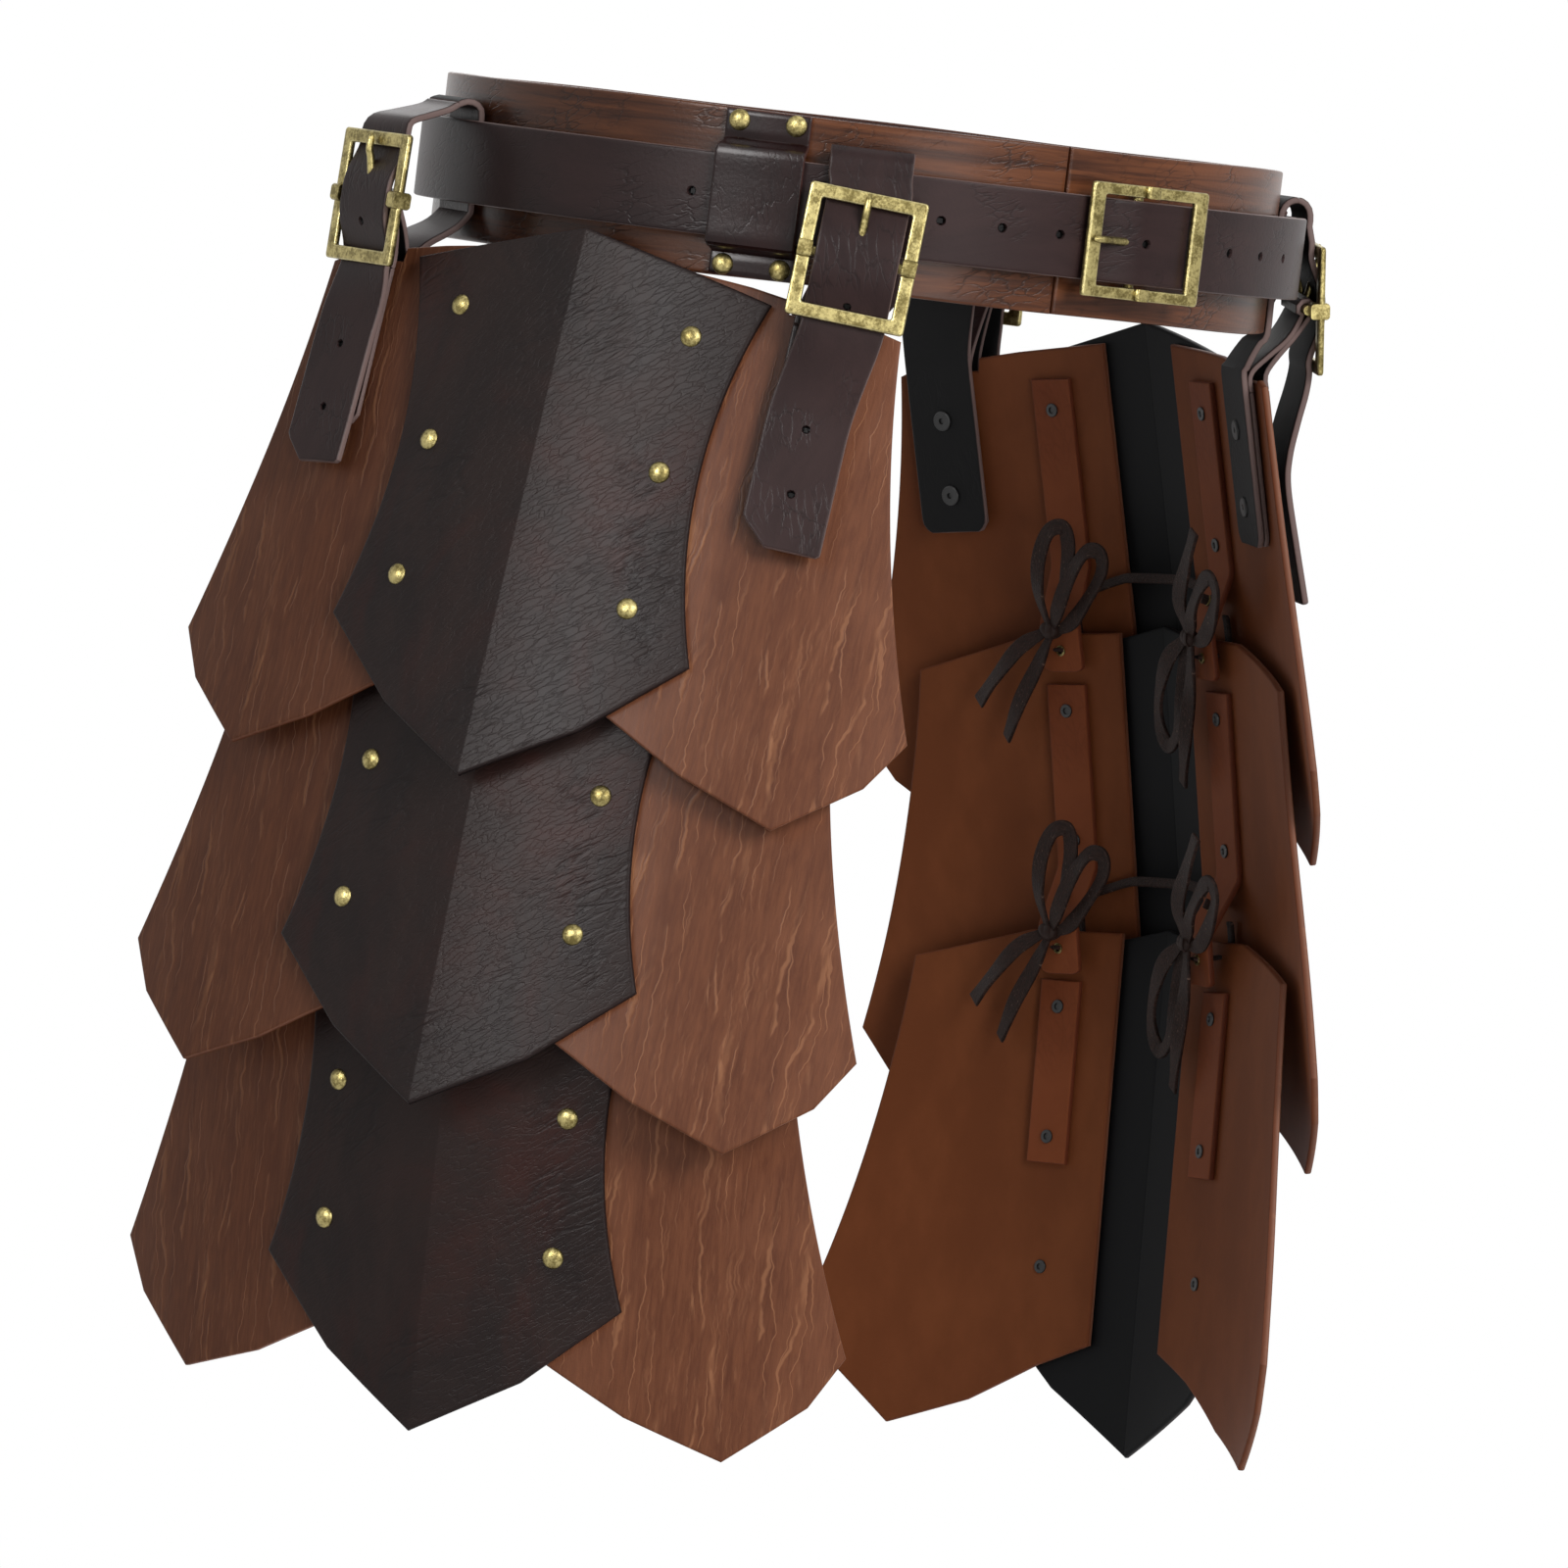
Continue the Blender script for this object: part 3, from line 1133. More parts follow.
def side_outline(i, s):
    """The top edge, which dips where a hanger passes, and the bottom edge, both outwards."""
    if i > 0:
        top = [(SIDE_IN_U, 3), (76, 4), (140, 20)]
    else:
        m, w = abs(HANGER_U[0 if s > 0 else 1]), HANGER_W / 2 + 2
        top = [(SIDE_IN_U, 9), (76, 12), (m - w, 14), (m - w + 1, NOTCH_V), (m + w - 1, NOTCH_V),
               (m + w, NOTCH_V - 1), (142, NOTCH_V + 1)]
    low = [(SIDE_IN_U, 188), (54, 199), (92, 218), (135, 232), (169, 206), (SIDE_OUT_U, 184)]
    return np.array(top, float), np.array(low, float)


def side_plate(side, i, s):
    """share runs from under the ridge plate outwards, t from the top edge down."""
    top, low = side_outline(i, s)
    reach = SIDE_OUT_U - SIDE_IN_U
    top_corners = (top[1:-1, 0] - SIDE_IN_U) / (top[-1, 0] - SIDE_IN_U)
    low_corners = (low[1:-1, 0] - SIDE_IN_U) / reach
    share = share_steps([*top_corners, *low_corners], 56, reach)
    share, t = np.meshgrid(share, share_steps([], 80, 190))
    top_u, low_u = mix(SIDE_IN_U, top[-1, 0], share), mix(SIDE_IN_U, SIDE_OUT_U, share)
    u = mix(top_u, low_u, t) - 24 * t * (1 - t) * share ** 3
    v = mix(np.interp(top_u, *top.T), np.interp(low_u, *low.T), t)
    lift = (0.45 * np.sin(v / 33 + 2 * i + s) + 0.25 * np.sin(u / 19 + v / 27)) * share ** 2
    grid = skin(side, i, s * u, v, SIDE_D + SIDE_T / 2 - 0.5 * lift)
    return cut_marks(wall(grid, SIDE_T, s, edge_r=1.1, square=0.5), u, v, 500 + 41 * i + 7 * s)


for side, sign in SIDES.items():
    for i, lame in enumerate(LAMES):
        body = f"{side}_{lame}_lame"
        piece(f"{side}_{lame}_ridge_leather", [ridge_plate(side, i)], RIDGE, body,
              sign, [f"{side}_{lame}_ridge_plate"])
        for s, end in ((1, "front"), (-1, "rear")):
            piece(f"{side}_{lame}_{end}_leather", [side_plate(side, i, s)], SIDE, body,
                  sign, [f"{side}_{lame}_{end}_plate"])
print("plates:", sum(n for name, n in made if "leather" in name), "faces so far")

# %% [markdown]
# ## Tabs, rivets and eyelets
# Behind each wing hangs a tab. The rivets that hold the plates hold it too, and below
# them it steps inwards, round the lame that hangs inside. The step is a profile of depth
# by height, carried straight across the tab. Its lower end has two brass eyelets for the
# lace. The brass heads show outside, and behind them are small black washers.

# %% Tabs
TAB_W, TAB_CORNER, HOLE_R = 22, 4, 2.7


def tab(side, i, s):
    """Down the lame by across the tab; the depth steps in where the next lame starts."""
    if i < 2:
        low = tab_step(i)
        line = [(RIVETS_V[0] - (12 if i else 14), TAB_D), (70, TAB_D), (TAB_BEND_V - 2, TAB_D),
                (TAB_BEND_V + 2, mix(TAB_D, low, 0.07)), (TAB_LOW_V - 2, mix(TAB_D, low, 0.93)),
                (TAB_LOW_V + 2, low), (TAB_END_V, low)]
        holes = [(HIGH_V, 0), (low_v(i), 0)]
    else:
        line, holes = [(RIVETS_V[0] - 12, TAB_D), (70, TAB_D), (TAB_BEND_V, TAB_D)], []
    line, _ = smooth_line([(v, d, 0) for v, d in line], 0.5)
    v = edge_steps(line[0, 0], line[-1, 0], 2.5)
    v = add_near(v, [h[0] for h in holes], HOLE_R)
    x = add_near(across_steps(TAB_W / 2) * TAB_W / 2, [0] if holes else [], HOLE_R)
    x, v = np.meshgrid(x, v)
    d = np.interp(v, line[:, 0], line[:, 1]) + TAB_T / 2
    corner = np.clip(np.abs(x) - (TAB_W / 2 - TAB_CORNER), 0, TAB_CORNER) / TAB_CORNER
    end = corner ** 2 * 2.0 * ease((v - 140) / 15)
    grid = skin(side, i, s * RIVET_U, v - end, d) + x[..., None] * along_skin(side, i, s * RIVET_U)
    inside = dents(x, v, [(h[1], h[0]) for h in holes], HOLE_R)[1]
    part = cut_marks(wall(grid, TAB_T, -1, edge_r=0.9), x, v, 700 + 9 * i + s)
    part[2]["hole"] = np.tile(inside.ravel(), 2)
    part[2]["inner"] = 0 * part[2]["inner"]
    return part


def stud(side, i, s, v, d, profile):
    """A turned part square to the leather at a rivet's place."""
    u = s * RIVET_U
    return turned(profile, skin(side, i, u, v, d), outward_at(side, i, u))


def tab_middle(i, v, on_step):
    """Depth of a tab's middle surface at v, and its slope where v is on the step."""
    share = np.clip((v - TAB_BEND_V) / (TAB_LOW_V - TAB_BEND_V), 0, 1)
    slope = math.atan((tab_step(i) - TAB_D) / (TAB_LOW_V - TAB_BEND_V)) * on_step
    return mix(TAB_D, tab_step(i), share) + TAB_T / 2 / math.cos(slope), slope


def eyelet(side, i, s, v, on_step):
    """A brass ring on the tab's inner and outer face, and a short tube between them."""
    u = s * RIVET_U
    d, slope = tab_middle(i, v, on_step)
    axis = math.cos(slope) * outward_at(side, i, u) + math.sin(slope) * lame_axes(side, i)[2]
    centre = skin(side, i, u, v, d)
    return [washer(centre, axis, EYELET_D, EYELET_BORE, TAB_T / 2 + 0.05, TAB_T / 2 + 0.95),
            washer(centre, -axis, EYELET_D, EYELET_BORE, TAB_T / 2, TAB_T / 2 + 0.9),
            washer(centre, axis, EYELET_TUBE, EYELET_BORE, -TAB_T / 2 - 0.5, TAB_T / 2 + 0.5)]


EYELET_D, EYELET_BORE, EYELET_TUBE = 4.8, 2.7, 3.3
WASHER = [(0, -0.25), (1.3, -0.25), (1.5, -0.9), (2.9, -0.85), (3.1, -0.5), (3.0, 0.1), (0, 0.1)]
for side, sign in SIDES.items():
    for i, lame in enumerate(LAMES):
        body = f"{side}_{lame}_lame"
        piece(f"{side}_{lame}_tab_leather", [tab(side, i, s) for s in (-1, 1)], TAB, body,
              sign, [f"{side}_{lame}_tabs"])
        heads = [stud(side, i, s, v, 0.1, HEAD) for s in (-1, 1) for v in RIVETS_V]
        eyelets = [] if i == 2 else [p for s in (-1, 1) for p in eyelet(side, i, s, HIGH_V, True)
                                     + eyelet(side, i, s, low_v(i), False)]
        piece(f"{side}_{lame}_rivet_heads", heads + eyelets, BRASS, body, sign,
              [f"{side}_{lame}_rivets"])
        backs = [stud(side, i, s, v, (TAB_D + TAB_T if v < TAB_BEND_V else INNER_D) + 0.1, WASHER)
                 for s in (-1, 1) for v in RIVETS_V]
        piece(f"{side}_{lame}_rivet_backs", backs, BLACK, body, sign)
print("rivets and eyelets made")

# %% [markdown]
# ## Laces
# One lace runs across the ridge from the upper eyelet of one tab to that of the other.
# At each tab a second strip comes out of the lower eyelet, passes through the next
# lame's edge and goes up between the two lames to the upper eyelet.

# %% Laces
def laces(side, i):
    """The same points as the solids, as (u, v, depth) on the lame."""
    mid_d, slope = tab_middle(i, HIGH_V, True)
    low, air = tab_step(i), (INNER_D + INSET + SIDE_D) / 2 + 5 * turn_in(i)
    c, n = math.cos(slope), math.sin(slope)
    span = np.array([(RIVET_U, HIGH_V - 5 * n, mid_d + 5 * c), (RIVET_U, HIGH_V, mid_d),
                     (RIVET_U, HIGH_V + 3 * n, mid_d - 3 * c),
                     (RIVET_U - 4, HIGH_V + 1, INNER_D + 3.2),
                     (RIVET_U - 14, HIGH_V - 2, INNER_D + 2.4),
                     (RIVET_U - 30, HIGH_V - 6, INNER_D + 3), (16, HIGH_V - 7, INNER_D + 4.5)])
    line = np.concatenate([span * [-1, 1, 1], span[::-1]])
    _, o, w = lame_axes(side, i)
    parts = [flat_lace(skin(side, i, *line.T), 800 + i, wide=c * w - n * o)[0]]
    e = low_v(i)
    stitch = np.array([(e - 1, low + TAB_T + 3), (e, low + TAB_T / 2), (e, low - 3),
                       (e - 0.8, air + 2.2), (e - 4, air - 0.5), (PITCH - 4, air - 0.9),
                       (HIGH_V + 7, air - 0.5)])
    for s in (-1, 1):
        points = skin(side, i, s * RIVET_U, stitch[:, 0], stitch[:, 1])
        parts.append(flat_lace(points, 820 + s, wide=along_skin(side, i, s * RIVET_U))[0])
    return parts


for side, sign in SIDES.items():
    for i in (0, 1):
        piece(f"{side}_{LAMES[i]}_lace_strips", laces(side, i), LACE, f"{side}_{LAMES[i]}_lame",
              sign, [f"{side}_{LAMES[i]}_laces"])

# %% [markdown]
# ## Hangers
# A hanger strap comes up behind the belts, arches over the narrow belt and falls
# outside it: through the buckle, over the centre bar and under the frame, and on down
# the face of the plate to its pointed tail. Its inner leg goes down behind the plate.
# A short folded strap, the chape, holds the buckle's bar, with one leaf on each face of
# the plate. The strap bends where the tasset swings, so each half is blended between the
# belt and what moves.

# %% Hanger axes
# Each list here holds the front hanger's value and then the rear one's
HANGER_AT = [49, 117]
BUCKLE_AZ, BUCKLE_A, BUCKLE_LEAN, BUCKLE_TILT = [50, 105], [49.5, 115], [5, 0], [7, 3]
BUCKLE_Z, REAR_R = -21, 226
LOOP_R = BELT_R + 0.5 + HANGER_T / 2
ARCH_H = 9 - HANGER_T / 2


def buckle_vec(h, p):
    """Buckle axes (along the bar, outwards, up), turned by the lean and then by the tilt."""
    p = np.asarray(p, float)
    b, f = math.radians(BUCKLE_LEAN[h]), math.radians(BUCKLE_TILT[h])
    x = p[..., 0] * math.cos(b) + p[..., 2] * math.sin(b)
    z = p[..., 2] * math.cos(b) - p[..., 0] * math.sin(b)
    y = p[..., 1] * math.cos(f) - z * math.sin(f)
    w = p[..., 1] * math.sin(f) + z * math.cos(f)
    return x[..., None] * fwd(BUCKLE_AZ[h]) + y[..., None] * out(BUCKLE_AZ[h]) + w[..., None] * UP


def buckle_at(side, h):
    """Returns a function that puts buckle axes in their place on this hanger."""
    front_r = cover_r(side, FRONT) + 0.5 + FOLD_R + CHAPE_T / 2 + BAR_BACK
    r = front_r if h == FRONT else REAR_R
    centre = r * out(BUCKLE_A[h]) + BUCKLE_Z * UP
    return lambda p: centre + buckle_vec(h, p)


def strip(h, p):
    """A place in the upright plane of one hanger, from its (radius, height)."""
    p = np.asarray(p, float)
    return p[..., 0, None] * out(HANGER_AT[h]) + p[..., 1, None] * UP


def arch(side, h):
    """Over the narrow belt: half an ellipse in front, an open curve at the rear."""
    if h == FRONT:
        outer = cover_r(side, h) + 0.6 + HANGER_T / 2
        return [(mix(LOOP_R, outer, 0.5 + 0.5 * math.cos(t)), NARROW_TOP + ARCH_H * math.sin(t))
                for t in np.radians([180, 150, 120, 90, 60, 30, 0])]
    return [(LOOP_R + r, NARROW_TOP + ARCH_H * share) for r, share in
            ((0, 0), (0.7, 0.65), (3.5, 0.96), (7.5, 1), (11, 0.8))]


def exit_dir(h):
    """Which way the strap leaves its arch, as (outwards, up)."""
    return np.array([0.0, -1.0]) if h == FRONT else unit([0.9, -0.62])


def run_between(a, b, leave, arrive, t):
    """A cubic from a to b with these end slopes (a Hermite curve)."""
    t = np.asarray(t, float)[:, None]
    return ((2 * t ** 3 - 3 * t ** 2 + 1) * a + (t ** 3 - 2 * t ** 2 + t) * leave
            + (3 * t ** 2 - 2 * t ** 3) * b + (t ** 3 - t ** 2) * arrive)


def strap(points, widths, half, thick, number, turn, holes=(), tail=None, hole_r=2.0):
    """Along a smooth line and across it.

    tail lists how wide it is near its end: the distance from it, then two shares of half the
    width, the rear one and the front one."""
    line, across, run = smooth_line(points, 0.5, widths)
    at = edge_steps(0, run[-1], 2.5)
    x = across_steps(half) * half
    if holes:
        at, x = add_near(at, holes, hole_r), add_near(x, [0], hole_r)
    at = at[(at >= 0) & (at <= run[-1])]

    def at_steps(field):
        return np.stack([np.interp(at, run, field[:, k]) for k in range(3)], -1)
    line, across = at_steps(line), unit(at_steps(across))
    length, offset = np.meshgrid(at, x)
    if tail:
        away, rear, front = np.array(tail, float).T
        left = np.interp(run[-1] - length, away, rear)
        right = np.interp(run[-1] - length, away, front)
        width = np.where(offset < 0, left, right)
    else:
        width = 1.0
    grid = line[None] + (offset * width)[..., None] * across[None]
    press, inside = dents(length, offset, [(h, 0) for h in holes], hole_r, 1.6)
    part = cut_marks(wall(grid, thick, turn, press=press), offset, length, number)
    part[2]["hole"] = np.concatenate([inside.ravel(), 0 * inside.ravel()])
    return part


PLATE_SAG = HANGER_W ** 2 / 8 / FRONT_BEND_R
LEG_D = INNER_D + CHAPE_T + 2 * SEAT + PLATE_SAG + HANGER_T / 2
LEAF_OUT_D = SIDE_D - SEAT - CHAPE_T / 2
LEAF_IN_D = INNER_D + SEAT + PLATE_SAG + CHAPE_T / 2
LEAF_FACE_D = LEAF_OUT_D - CHAPE_T / 2
TAIL_D = LEAF_FACE_D - 0.9 - 3 * SEAT - HANGER_T / 2
LEG_V, LEG_END_V, SPLIT_V = 17, 92, 24
HANGER_RIVET_V, TAIL_END_V = [41, 75], [119, 111]
# Which point of the arch is its crest
CREST = [3, 4]
WEAVE_BACK = -FRAME_T / 2 - SEAT - HANGER_T / 2
WEAVE_FRONT = -BAR_BACK + FOLD_R + CHAPE_T / 2 + SEAT + HANGER_T / 2


# %% Inner legs
def turning(a, b, ts):
    """Unit directions that turn from a to b."""
    return [unit(mix(a, b, t)) for t in ts]


def inner_leg(side, h):
    """Down from the crest of the arch, behind the belts and behind the plate."""
    u, f, o = HANGER_U[h], fwd(HANGER_AT[h]), out(HANGER_AT[h])
    here, down = along_skin(side, 0, u), lame_axes(side, 0)[2]
    over = arch(side, h)[:CREST[h] + 1][::-1]
    lead = [(LOOP_R, -20.5), (LOOP_R, -36) if h == FRONT else (LOOP_R + 0.4, -23.5)]
    start, stop = strip(h, lead[1]), skin(side, 0, u, LEG_V, LEG_D)
    gap = np.linalg.norm(stop - start)
    if h == FRONT:
        leave, arrive = -0.5 * gap * (0.9 * o + UP), 0.4 * gap * down
    else:
        leave, arrive = gap * (0.45 * o - 0.9 * UP), 0.8 * gap * down
    ts = [0.2, 0.4, 0.6, 0.8]
    bent = run_between(start, stop, leave, arrive, ts)
    flat = skin(side, 0, u, np.array([LEG_V, 45, 70, LEG_END_V]), LEG_D)
    points = [*strip(h, over), *strip(h, [(LOOP_R, 4), *lead]), *bent, *flat]
    widths = [f] * (len(over) + 3) + turning(f, here, ease(np.array(ts))) + [here] * 4
    end = [(0, 0.72, 0.72), (1.5, 0.86, 0.86), (4, 0.97, 0.97), (7, 1, 1), (400, 1, 1)]
    return strap(np.array(points), np.array(widths), HANGER_W / 2, HANGER_T, 900 + h, -1, tail=end)


# %% Outer straps
def outer_strap(side, h):
    """From the crest through the buckle and down the plate to the tail."""
    u, f = HANGER_U[h], fwd(HANGER_AT[h])
    here, down = along_skin(side, 0, u), lame_axes(side, 0)[2]
    flat, up = buckle_vec(h, (1, 0, 0)), buckle_vec(h, (0, 0, 1))
    depths = [(WEAVE_BACK, 29), (WEAVE_BACK, 21.5), (WEAVE_FRONT - 0.8, 9), (WEAVE_FRONT, 0),
              (WEAVE_FRONT - 0.8, -9), (WEAVE_BACK, -21.5), (WEAVE_BACK, -29)]
    weave = buckle_at(side, h)(np.array([(0, y, z) for y, z in depths]))
    arches = arch(side, h)
    over = arches[CREST[h]:]
    top = strip(h, np.array(arches[-1]) + (3.5 if h == FRONT else 5) * exit_dir(h))
    lead = [top]
    if h != FRONT:
        gap = np.linalg.norm(weave[0] - top)
        leave = exit_dir(h)[0] * out(HANGER_AT[h]) + exit_dir(h)[1] * UP
        lead += [*run_between(top, weave[0], gap * leave, -gap * up, [0.4, 0.75])]
    stop = skin(side, 0, u, HANGER_RIVET_V[1] - 8, TAIL_D)
    gap = np.linalg.norm(stop - weave[-1])
    ts = [0.25, 0.5, 0.75]
    drape = run_between(weave[-1], stop, -0.5 * gap * up, gap * down, ts)
    vs = np.array([HANGER_RIVET_V[1] - 8, 92, TAIL_END_V[h] - 10, TAIL_END_V[h]])
    tail = skin(side, 0, u, vs, TAIL_D - np.maximum(0, vs - 75) / 20)
    points = np.array([*strip(h, over), *lead, *weave, *drape, *tail])
    widths = [f] * len(over) + turning(f, flat, np.arange(len(lead)) / 3) + [flat] * 7 \
        + turning(flat, here, np.minimum(1, 2 * np.array(ts))) + [here] * 4
    length = smooth_line(points, 0.5)[1][-1]
    holes = [length - k for k in (24, 52, 106)]
    return strap(points, np.array(widths), HANGER_W / 2, HANGER_T, 940 + h, -1, holes,
                 [(0, 0.35, 0.9), (1.2, 0.42, 1), (11, 1, 1), (400, 1, 1)], 1.8)


# %% Chapes
def chape(side, h):
    """Round the buckle's bar, from the outer face of the plate to its inner face."""
    u = HANGER_U[h]
    here, flat, down = along_skin(side, 0, u), buckle_vec(h, (1, 0, 0)), lame_axes(side, 0)[2]
    a = np.radians(np.arange(-60, 241, 20))
    fold = np.stack([0 * a, -BAR_BACK + FOLD_R * np.cos(a), FOLD_R * np.sin(a)], -1)
    turn = buckle_at(side, h)(fold)
    first = skin(side, 0, u, NOTCH_V - 1, LEAF_OUT_D)
    last = skin(side, 0, u, NOTCH_V - 2, LEAF_IN_D)
    ts = [0.8, 0.55, 0.3]
    gap = np.linalg.norm(first - turn[0])
    leave = gap * buckle_vec(h, (0, -0.5, -0.9))
    front = run_between(turn[0], first, leave, 0.5 * gap * down, ts)
    gap = np.linalg.norm(last - turn[-1])
    leave = gap * buckle_vec(h, (0, -0.08 if h == FRONT else -0.4, -0.9))
    back = run_between(turn[-1], last, leave, 0.5 * gap * down, ts[::-1])
    points = [skin(side, 0, u, SPLIT_V - 0.1, LEAF_OUT_D), first, *front, *turn, *back, last,
              skin(side, 0, u, SPLIT_V - 0.1, LEAF_IN_D)]
    blend = turning(flat, here, ts)
    widths = [here, here, *blend, *[flat] * len(turn), *blend[::-1], here, here]
    return strap(np.array(points), np.array(widths), HANGER_W / 2 - 2, CHAPE_T, 960 + h, 1)


def leaves(side, h):
    """The two leaves that the rivets hold, one on each face of the plate."""
    u = HANGER_U[h]
    v = np.array([SPLIT_V + 0.1, 45, 70, LEG_END_V])
    here = np.array([along_skin(side, 0, u)] * 4)
    end = [(0, 0.8, 0.8), (4, 1, 1), (200, 1, 1)]
    return [strap(skin(side, 0, u, v, d), here, HANGER_W / 2 - 2, CHAPE_T, 970 + h, t, tail=end)
            for d, t in ((LEAF_OUT_D, -1), (LEAF_IN_D, 1))]


# %% Assembling the hangers
CAP = [(0, -0.5), (3.9, -0.5), (4.5, -0.2), (4.4, 0.3), (3.6, 0.7), (0, 0.85)]
CUP = [(0, -0.1), (1.2, -0.1), (1.4, -1.0), (4.0, -1.1), (4.5, -0.7), (4.5, 0.1), (0, 0.2)]
for side, sign in SIDES.items():
    mirror = np.array([sign, 1, 1]) * MM
    for h, end in enumerate(("front", "rear")):
        leg = piece(f"{side}_{end}_hanger_leg", [inner_leg(side, h)], STRAP, None,
                    sign, ["hanger_loops", f"{side}_hanger_legs"])
        bend_at = strip(h, (LOOP_R, NARROW_LOW)) * mirror
        (bend_at - [0, 0, 0.001]).tolist()
        (bend_at - [0, 0, 0.027]).tolist()
        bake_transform(leg)
        fall = piece(f"{side}_{end}_hanger_strap", [outer_strap(side, h)], STRAP, None,
                     sign, [f"{side}_buckle_straps"])
        bend_at = strip(h, arch(side, h)[-1]) * mirror
        (bend_at + [0, 0, 0.006]).tolist()
        (bend_at - [0, 0, 0.012]).tolist()
        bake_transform(fall)
        piece(f"{side}_{end}_chape", [chape(side, h)], STRAP, f"{side}_buckles",
              sign, [f"{side}_buckle_chapes"])
        piece(f"{side}_{end}_chape_leaves", leaves(side, h), STRAP, f"{side}_upper_lame",
              sign, [f"{side}_hanger_legs"])
        place = buckle_at(side, h)
        frame_parts = [buckle_frame(50, 56, 6, 6, place), *centre_bar(25, 6, BAR_BACK, place)]
        piece(f"{side}_{end}_buckle_frame", frame_parts, BRASS, f"{side}_buckles",
              sign, [f"{side}_buckle_frames"])
        prong_parts = prong(26.5, BAR_BACK + FRAME_T / 2 + 2.2, BAR_BACK, place)
        piece(f"{side}_{end}_buckle_prong", prong_parts, BRASS, f"{side}_{end}_prong",
              sign, [f"{side}_{end}_prong"])
        u = HANGER_U[h]
        studs = [turned(profile, skin(side, 0, u, v, d), outward_at(side, 0, u))
                 for profile, d in ((CAP, LEAF_FACE_D), (CUP, LEG_D + HANGER_T / 2 + 0.1))
                 for v in HANGER_RIVET_V]
        piece(f"{side}_{end}_hanger_rivet_caps", studs, BLACK, f"{side}_upper_lame",
              sign, [f"{side}_hanger_rivets"])

# %% [markdown]
# ## Light and floor
# The photograph has soft light from all round on plain white. The key lamp stands high
# in front of the wearer, and a low one beside it lights the inside of the far tasset.
# Weak lamps at the left of the picture, above and behind fill the shadows. The sheen
# lamp is seen only in reflections, where it gives the ridge plates their grey sheen.
#
# The floor is well below the skirt, because a skirt hangs from its belt. What the camera
# and shiny surfaces see of the world is plain white, and the floor fades to the same
# white around the shadow, but neither throws much light on the leather.

# %% Lamps
AIM = (0, 0, -0.25)


def lamp(name, place, size, watts):
    """A square soft lamp that faces the skirt."""
    data = bpy.data.lights.new(name, "AREA")
    data.size, data.energy = size, watts
    obj = bpy.data.objects.new(name, data)
    back = unit(np.array(place) - np.array(AIM))
    right = unit(np.cross(UP, back))
    turn = np.eye(4)
    turn[:3, :4] = np.stack([right, np.cross(back, right), back, place], -1)
    obj.matrix_world = Matrix(turn.tolist())
    bpy.context.scene.collection.objects.link(obj)
    return obj


lamp("key_lamp", (-0.9, -3.2, 1.5), 1.5, 76)
lamp("left_lamp", (-3.4, 0.3, 1.2), 1.2, 1)
lamp("top_lamp", (-0.3, -0.2, 2.4), 1.4, 6)
lamp("inside_lamp", (-1.7, -3.0, -0.45), 1.2, 23)
lamp("back_lamp", (2.4, 2.2, 1.2), 1.8, 12)
lamp("sheen_lamp", (-3.5, -0.3, 1.1), 1.3, 120).visible_diffuse = False
print("lamps", len(bpy.data.lights))

# %% World and floor
WORLD_LIT, FLOOR_SHADE, FLOOR_LIFT = 0.1, 0.92, 0.54
# Metres from the skirt between which the floor fades to white
FADE_FROM, FADE_TO = 0.8, 1.9
FLOOR_Z, FLOOR_HALF = -0.86, 9
world = bpy.data.worlds.new("studio")
bpy.context.scene.world = world
world.use_nodes = True
nodes, links = world.node_tree.nodes, world.node_tree.links
nodes.clear()


def seen_strength(tree, lit, seen):
    """A strength: lit for diffuse light, and seen for the camera and in shiny and clear things."""
    rays = tree.nodes.new("ShaderNodeLightPath")
    ray = rays.outputs["Is Camera Ray"]
    for other in ("Is Glossy Ray", "Is Transmission Ray"):
        either = tree.nodes.new("ShaderNodeMath")
        either.operation = "MAXIMUM"
        tree.links.new(ray, either.inputs[0])
        tree.links.new(rays.outputs[other], either.inputs[1])
        ray = either.outputs[0]
    strength = tree.nodes.new("ShaderNodeMapRange")
    tree.links.new(ray, strength.inputs[0])
    strength.inputs[3].default_value, strength.inputs[4].default_value = lit, seen
    return strength.outputs[0]


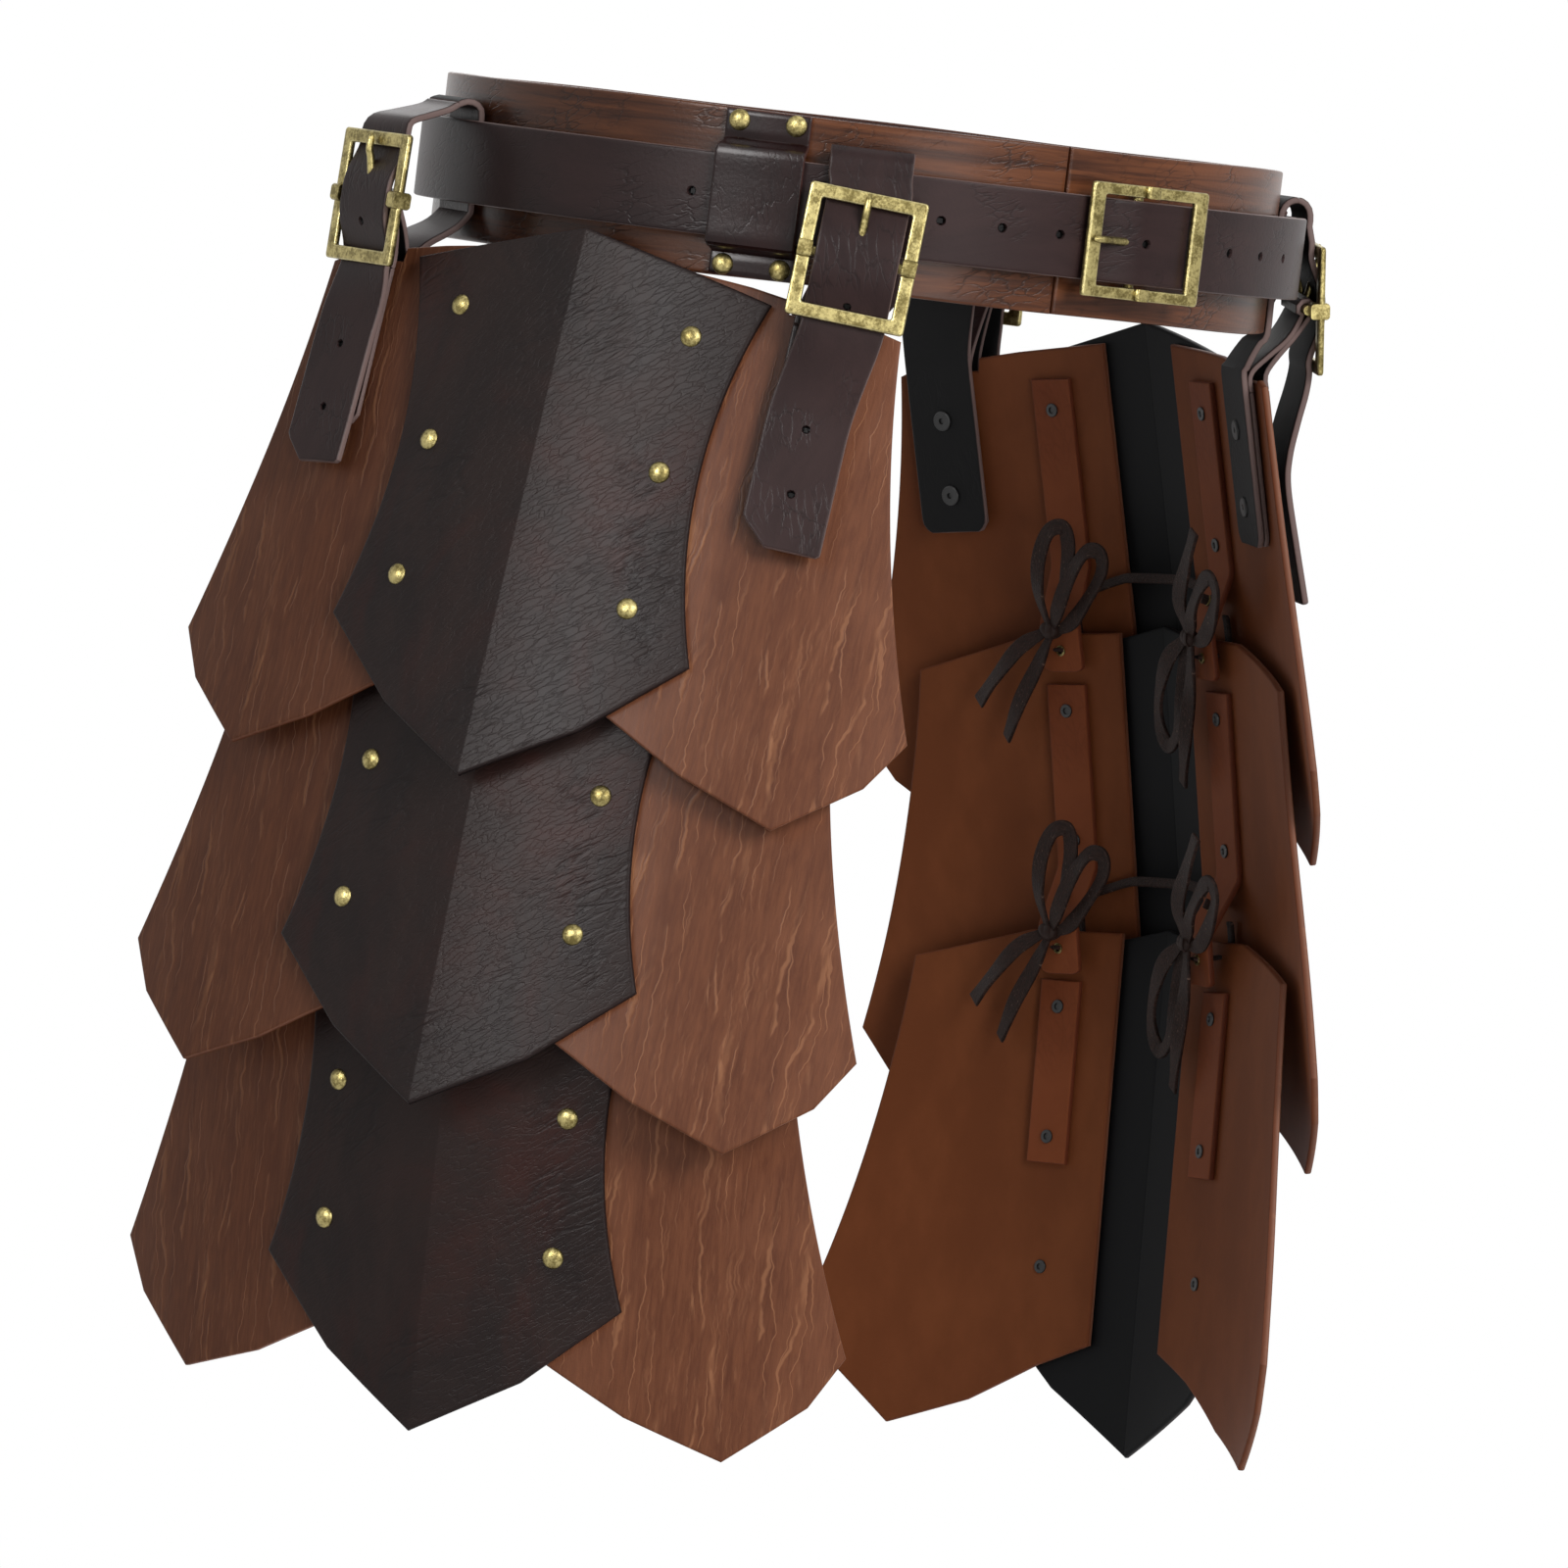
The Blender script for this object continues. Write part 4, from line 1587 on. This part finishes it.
glow = nodes.new("ShaderNodeBackground")
glow.inputs["Color"].default_value = (1, 1, 1, 1)
links.new(seen_strength(world.node_tree, WORLD_LIT, 1.0), glow.inputs["Strength"])
links.new(glow.outputs[0], nodes.new("ShaderNodeOutputWorld").inputs["Surface"])

floor_mesh = bpy.data.meshes.new("floor")
corners = ((-1, -1), (1, -1), (1, 1), (-1, 1))
floor_mesh.from_pydata([(x * FLOOR_HALF, y * FLOOR_HALF, FLOOR_Z) for x, y in corners],
                       [], [(0, 1, 2, 3)])
floor = bpy.data.objects.new("floor", floor_mesh)
bpy.context.scene.collection.objects.link(floor)
paper = bpy.data.materials.new("white_paper")
paper.use_nodes = True
tree = paper.node_tree
tree.nodes.clear()
diffuse = tree.nodes.new("ShaderNodeBsdfDiffuse")
diffuse.inputs["Color"].default_value = (FLOOR_SHADE, FLOOR_SHADE, FLOOR_SHADE, 1)
white = tree.nodes.new("ShaderNodeEmission")
tree.links.new(seen_strength(tree, WORLD_LIT, 1.0), white.inputs["Strength"])
lift = tree.nodes.new("ShaderNodeEmission")
tree.links.new(seen_strength(tree, 0.0, FLOOR_LIFT), lift.inputs["Strength"])
near = tree.nodes.new("ShaderNodeAddShader")
fade = tree.nodes.new("ShaderNodeMixShader")
place = tree.nodes.new("ShaderNodeTexCoord")
length = tree.nodes.new("ShaderNodeVectorMath")
length.operation = "LENGTH"
far = tree.nodes.new("ShaderNodeMapRange")
far.interpolation_type = "SMOOTHSTEP"
far.inputs[1].default_value, far.inputs[2].default_value = FADE_FROM, FADE_TO
tree.links.new(place.outputs["Object"], length.inputs[0])
tree.links.new(length.outputs["Value"], far.inputs[0])
tree.links.new(far.outputs[0], fade.inputs[0])
tree.links.new(diffuse.outputs[0], near.inputs[0])
tree.links.new(lift.outputs[0], near.inputs[1])
tree.links.new(near.outputs[0], fade.inputs[1])
tree.links.new(white.outputs[0], fade.inputs[2])
tree.links.new(fade.outputs[0], tree.nodes.new("ShaderNodeOutputMaterial").inputs["Surface"])
floor_mesh.materials.append(paper)
bpy.context.scene.view_settings.view_transform = "Standard"

# %% Sizes and finish
print(len(made), "pieces,", sum(n for _, n in made), "faces")
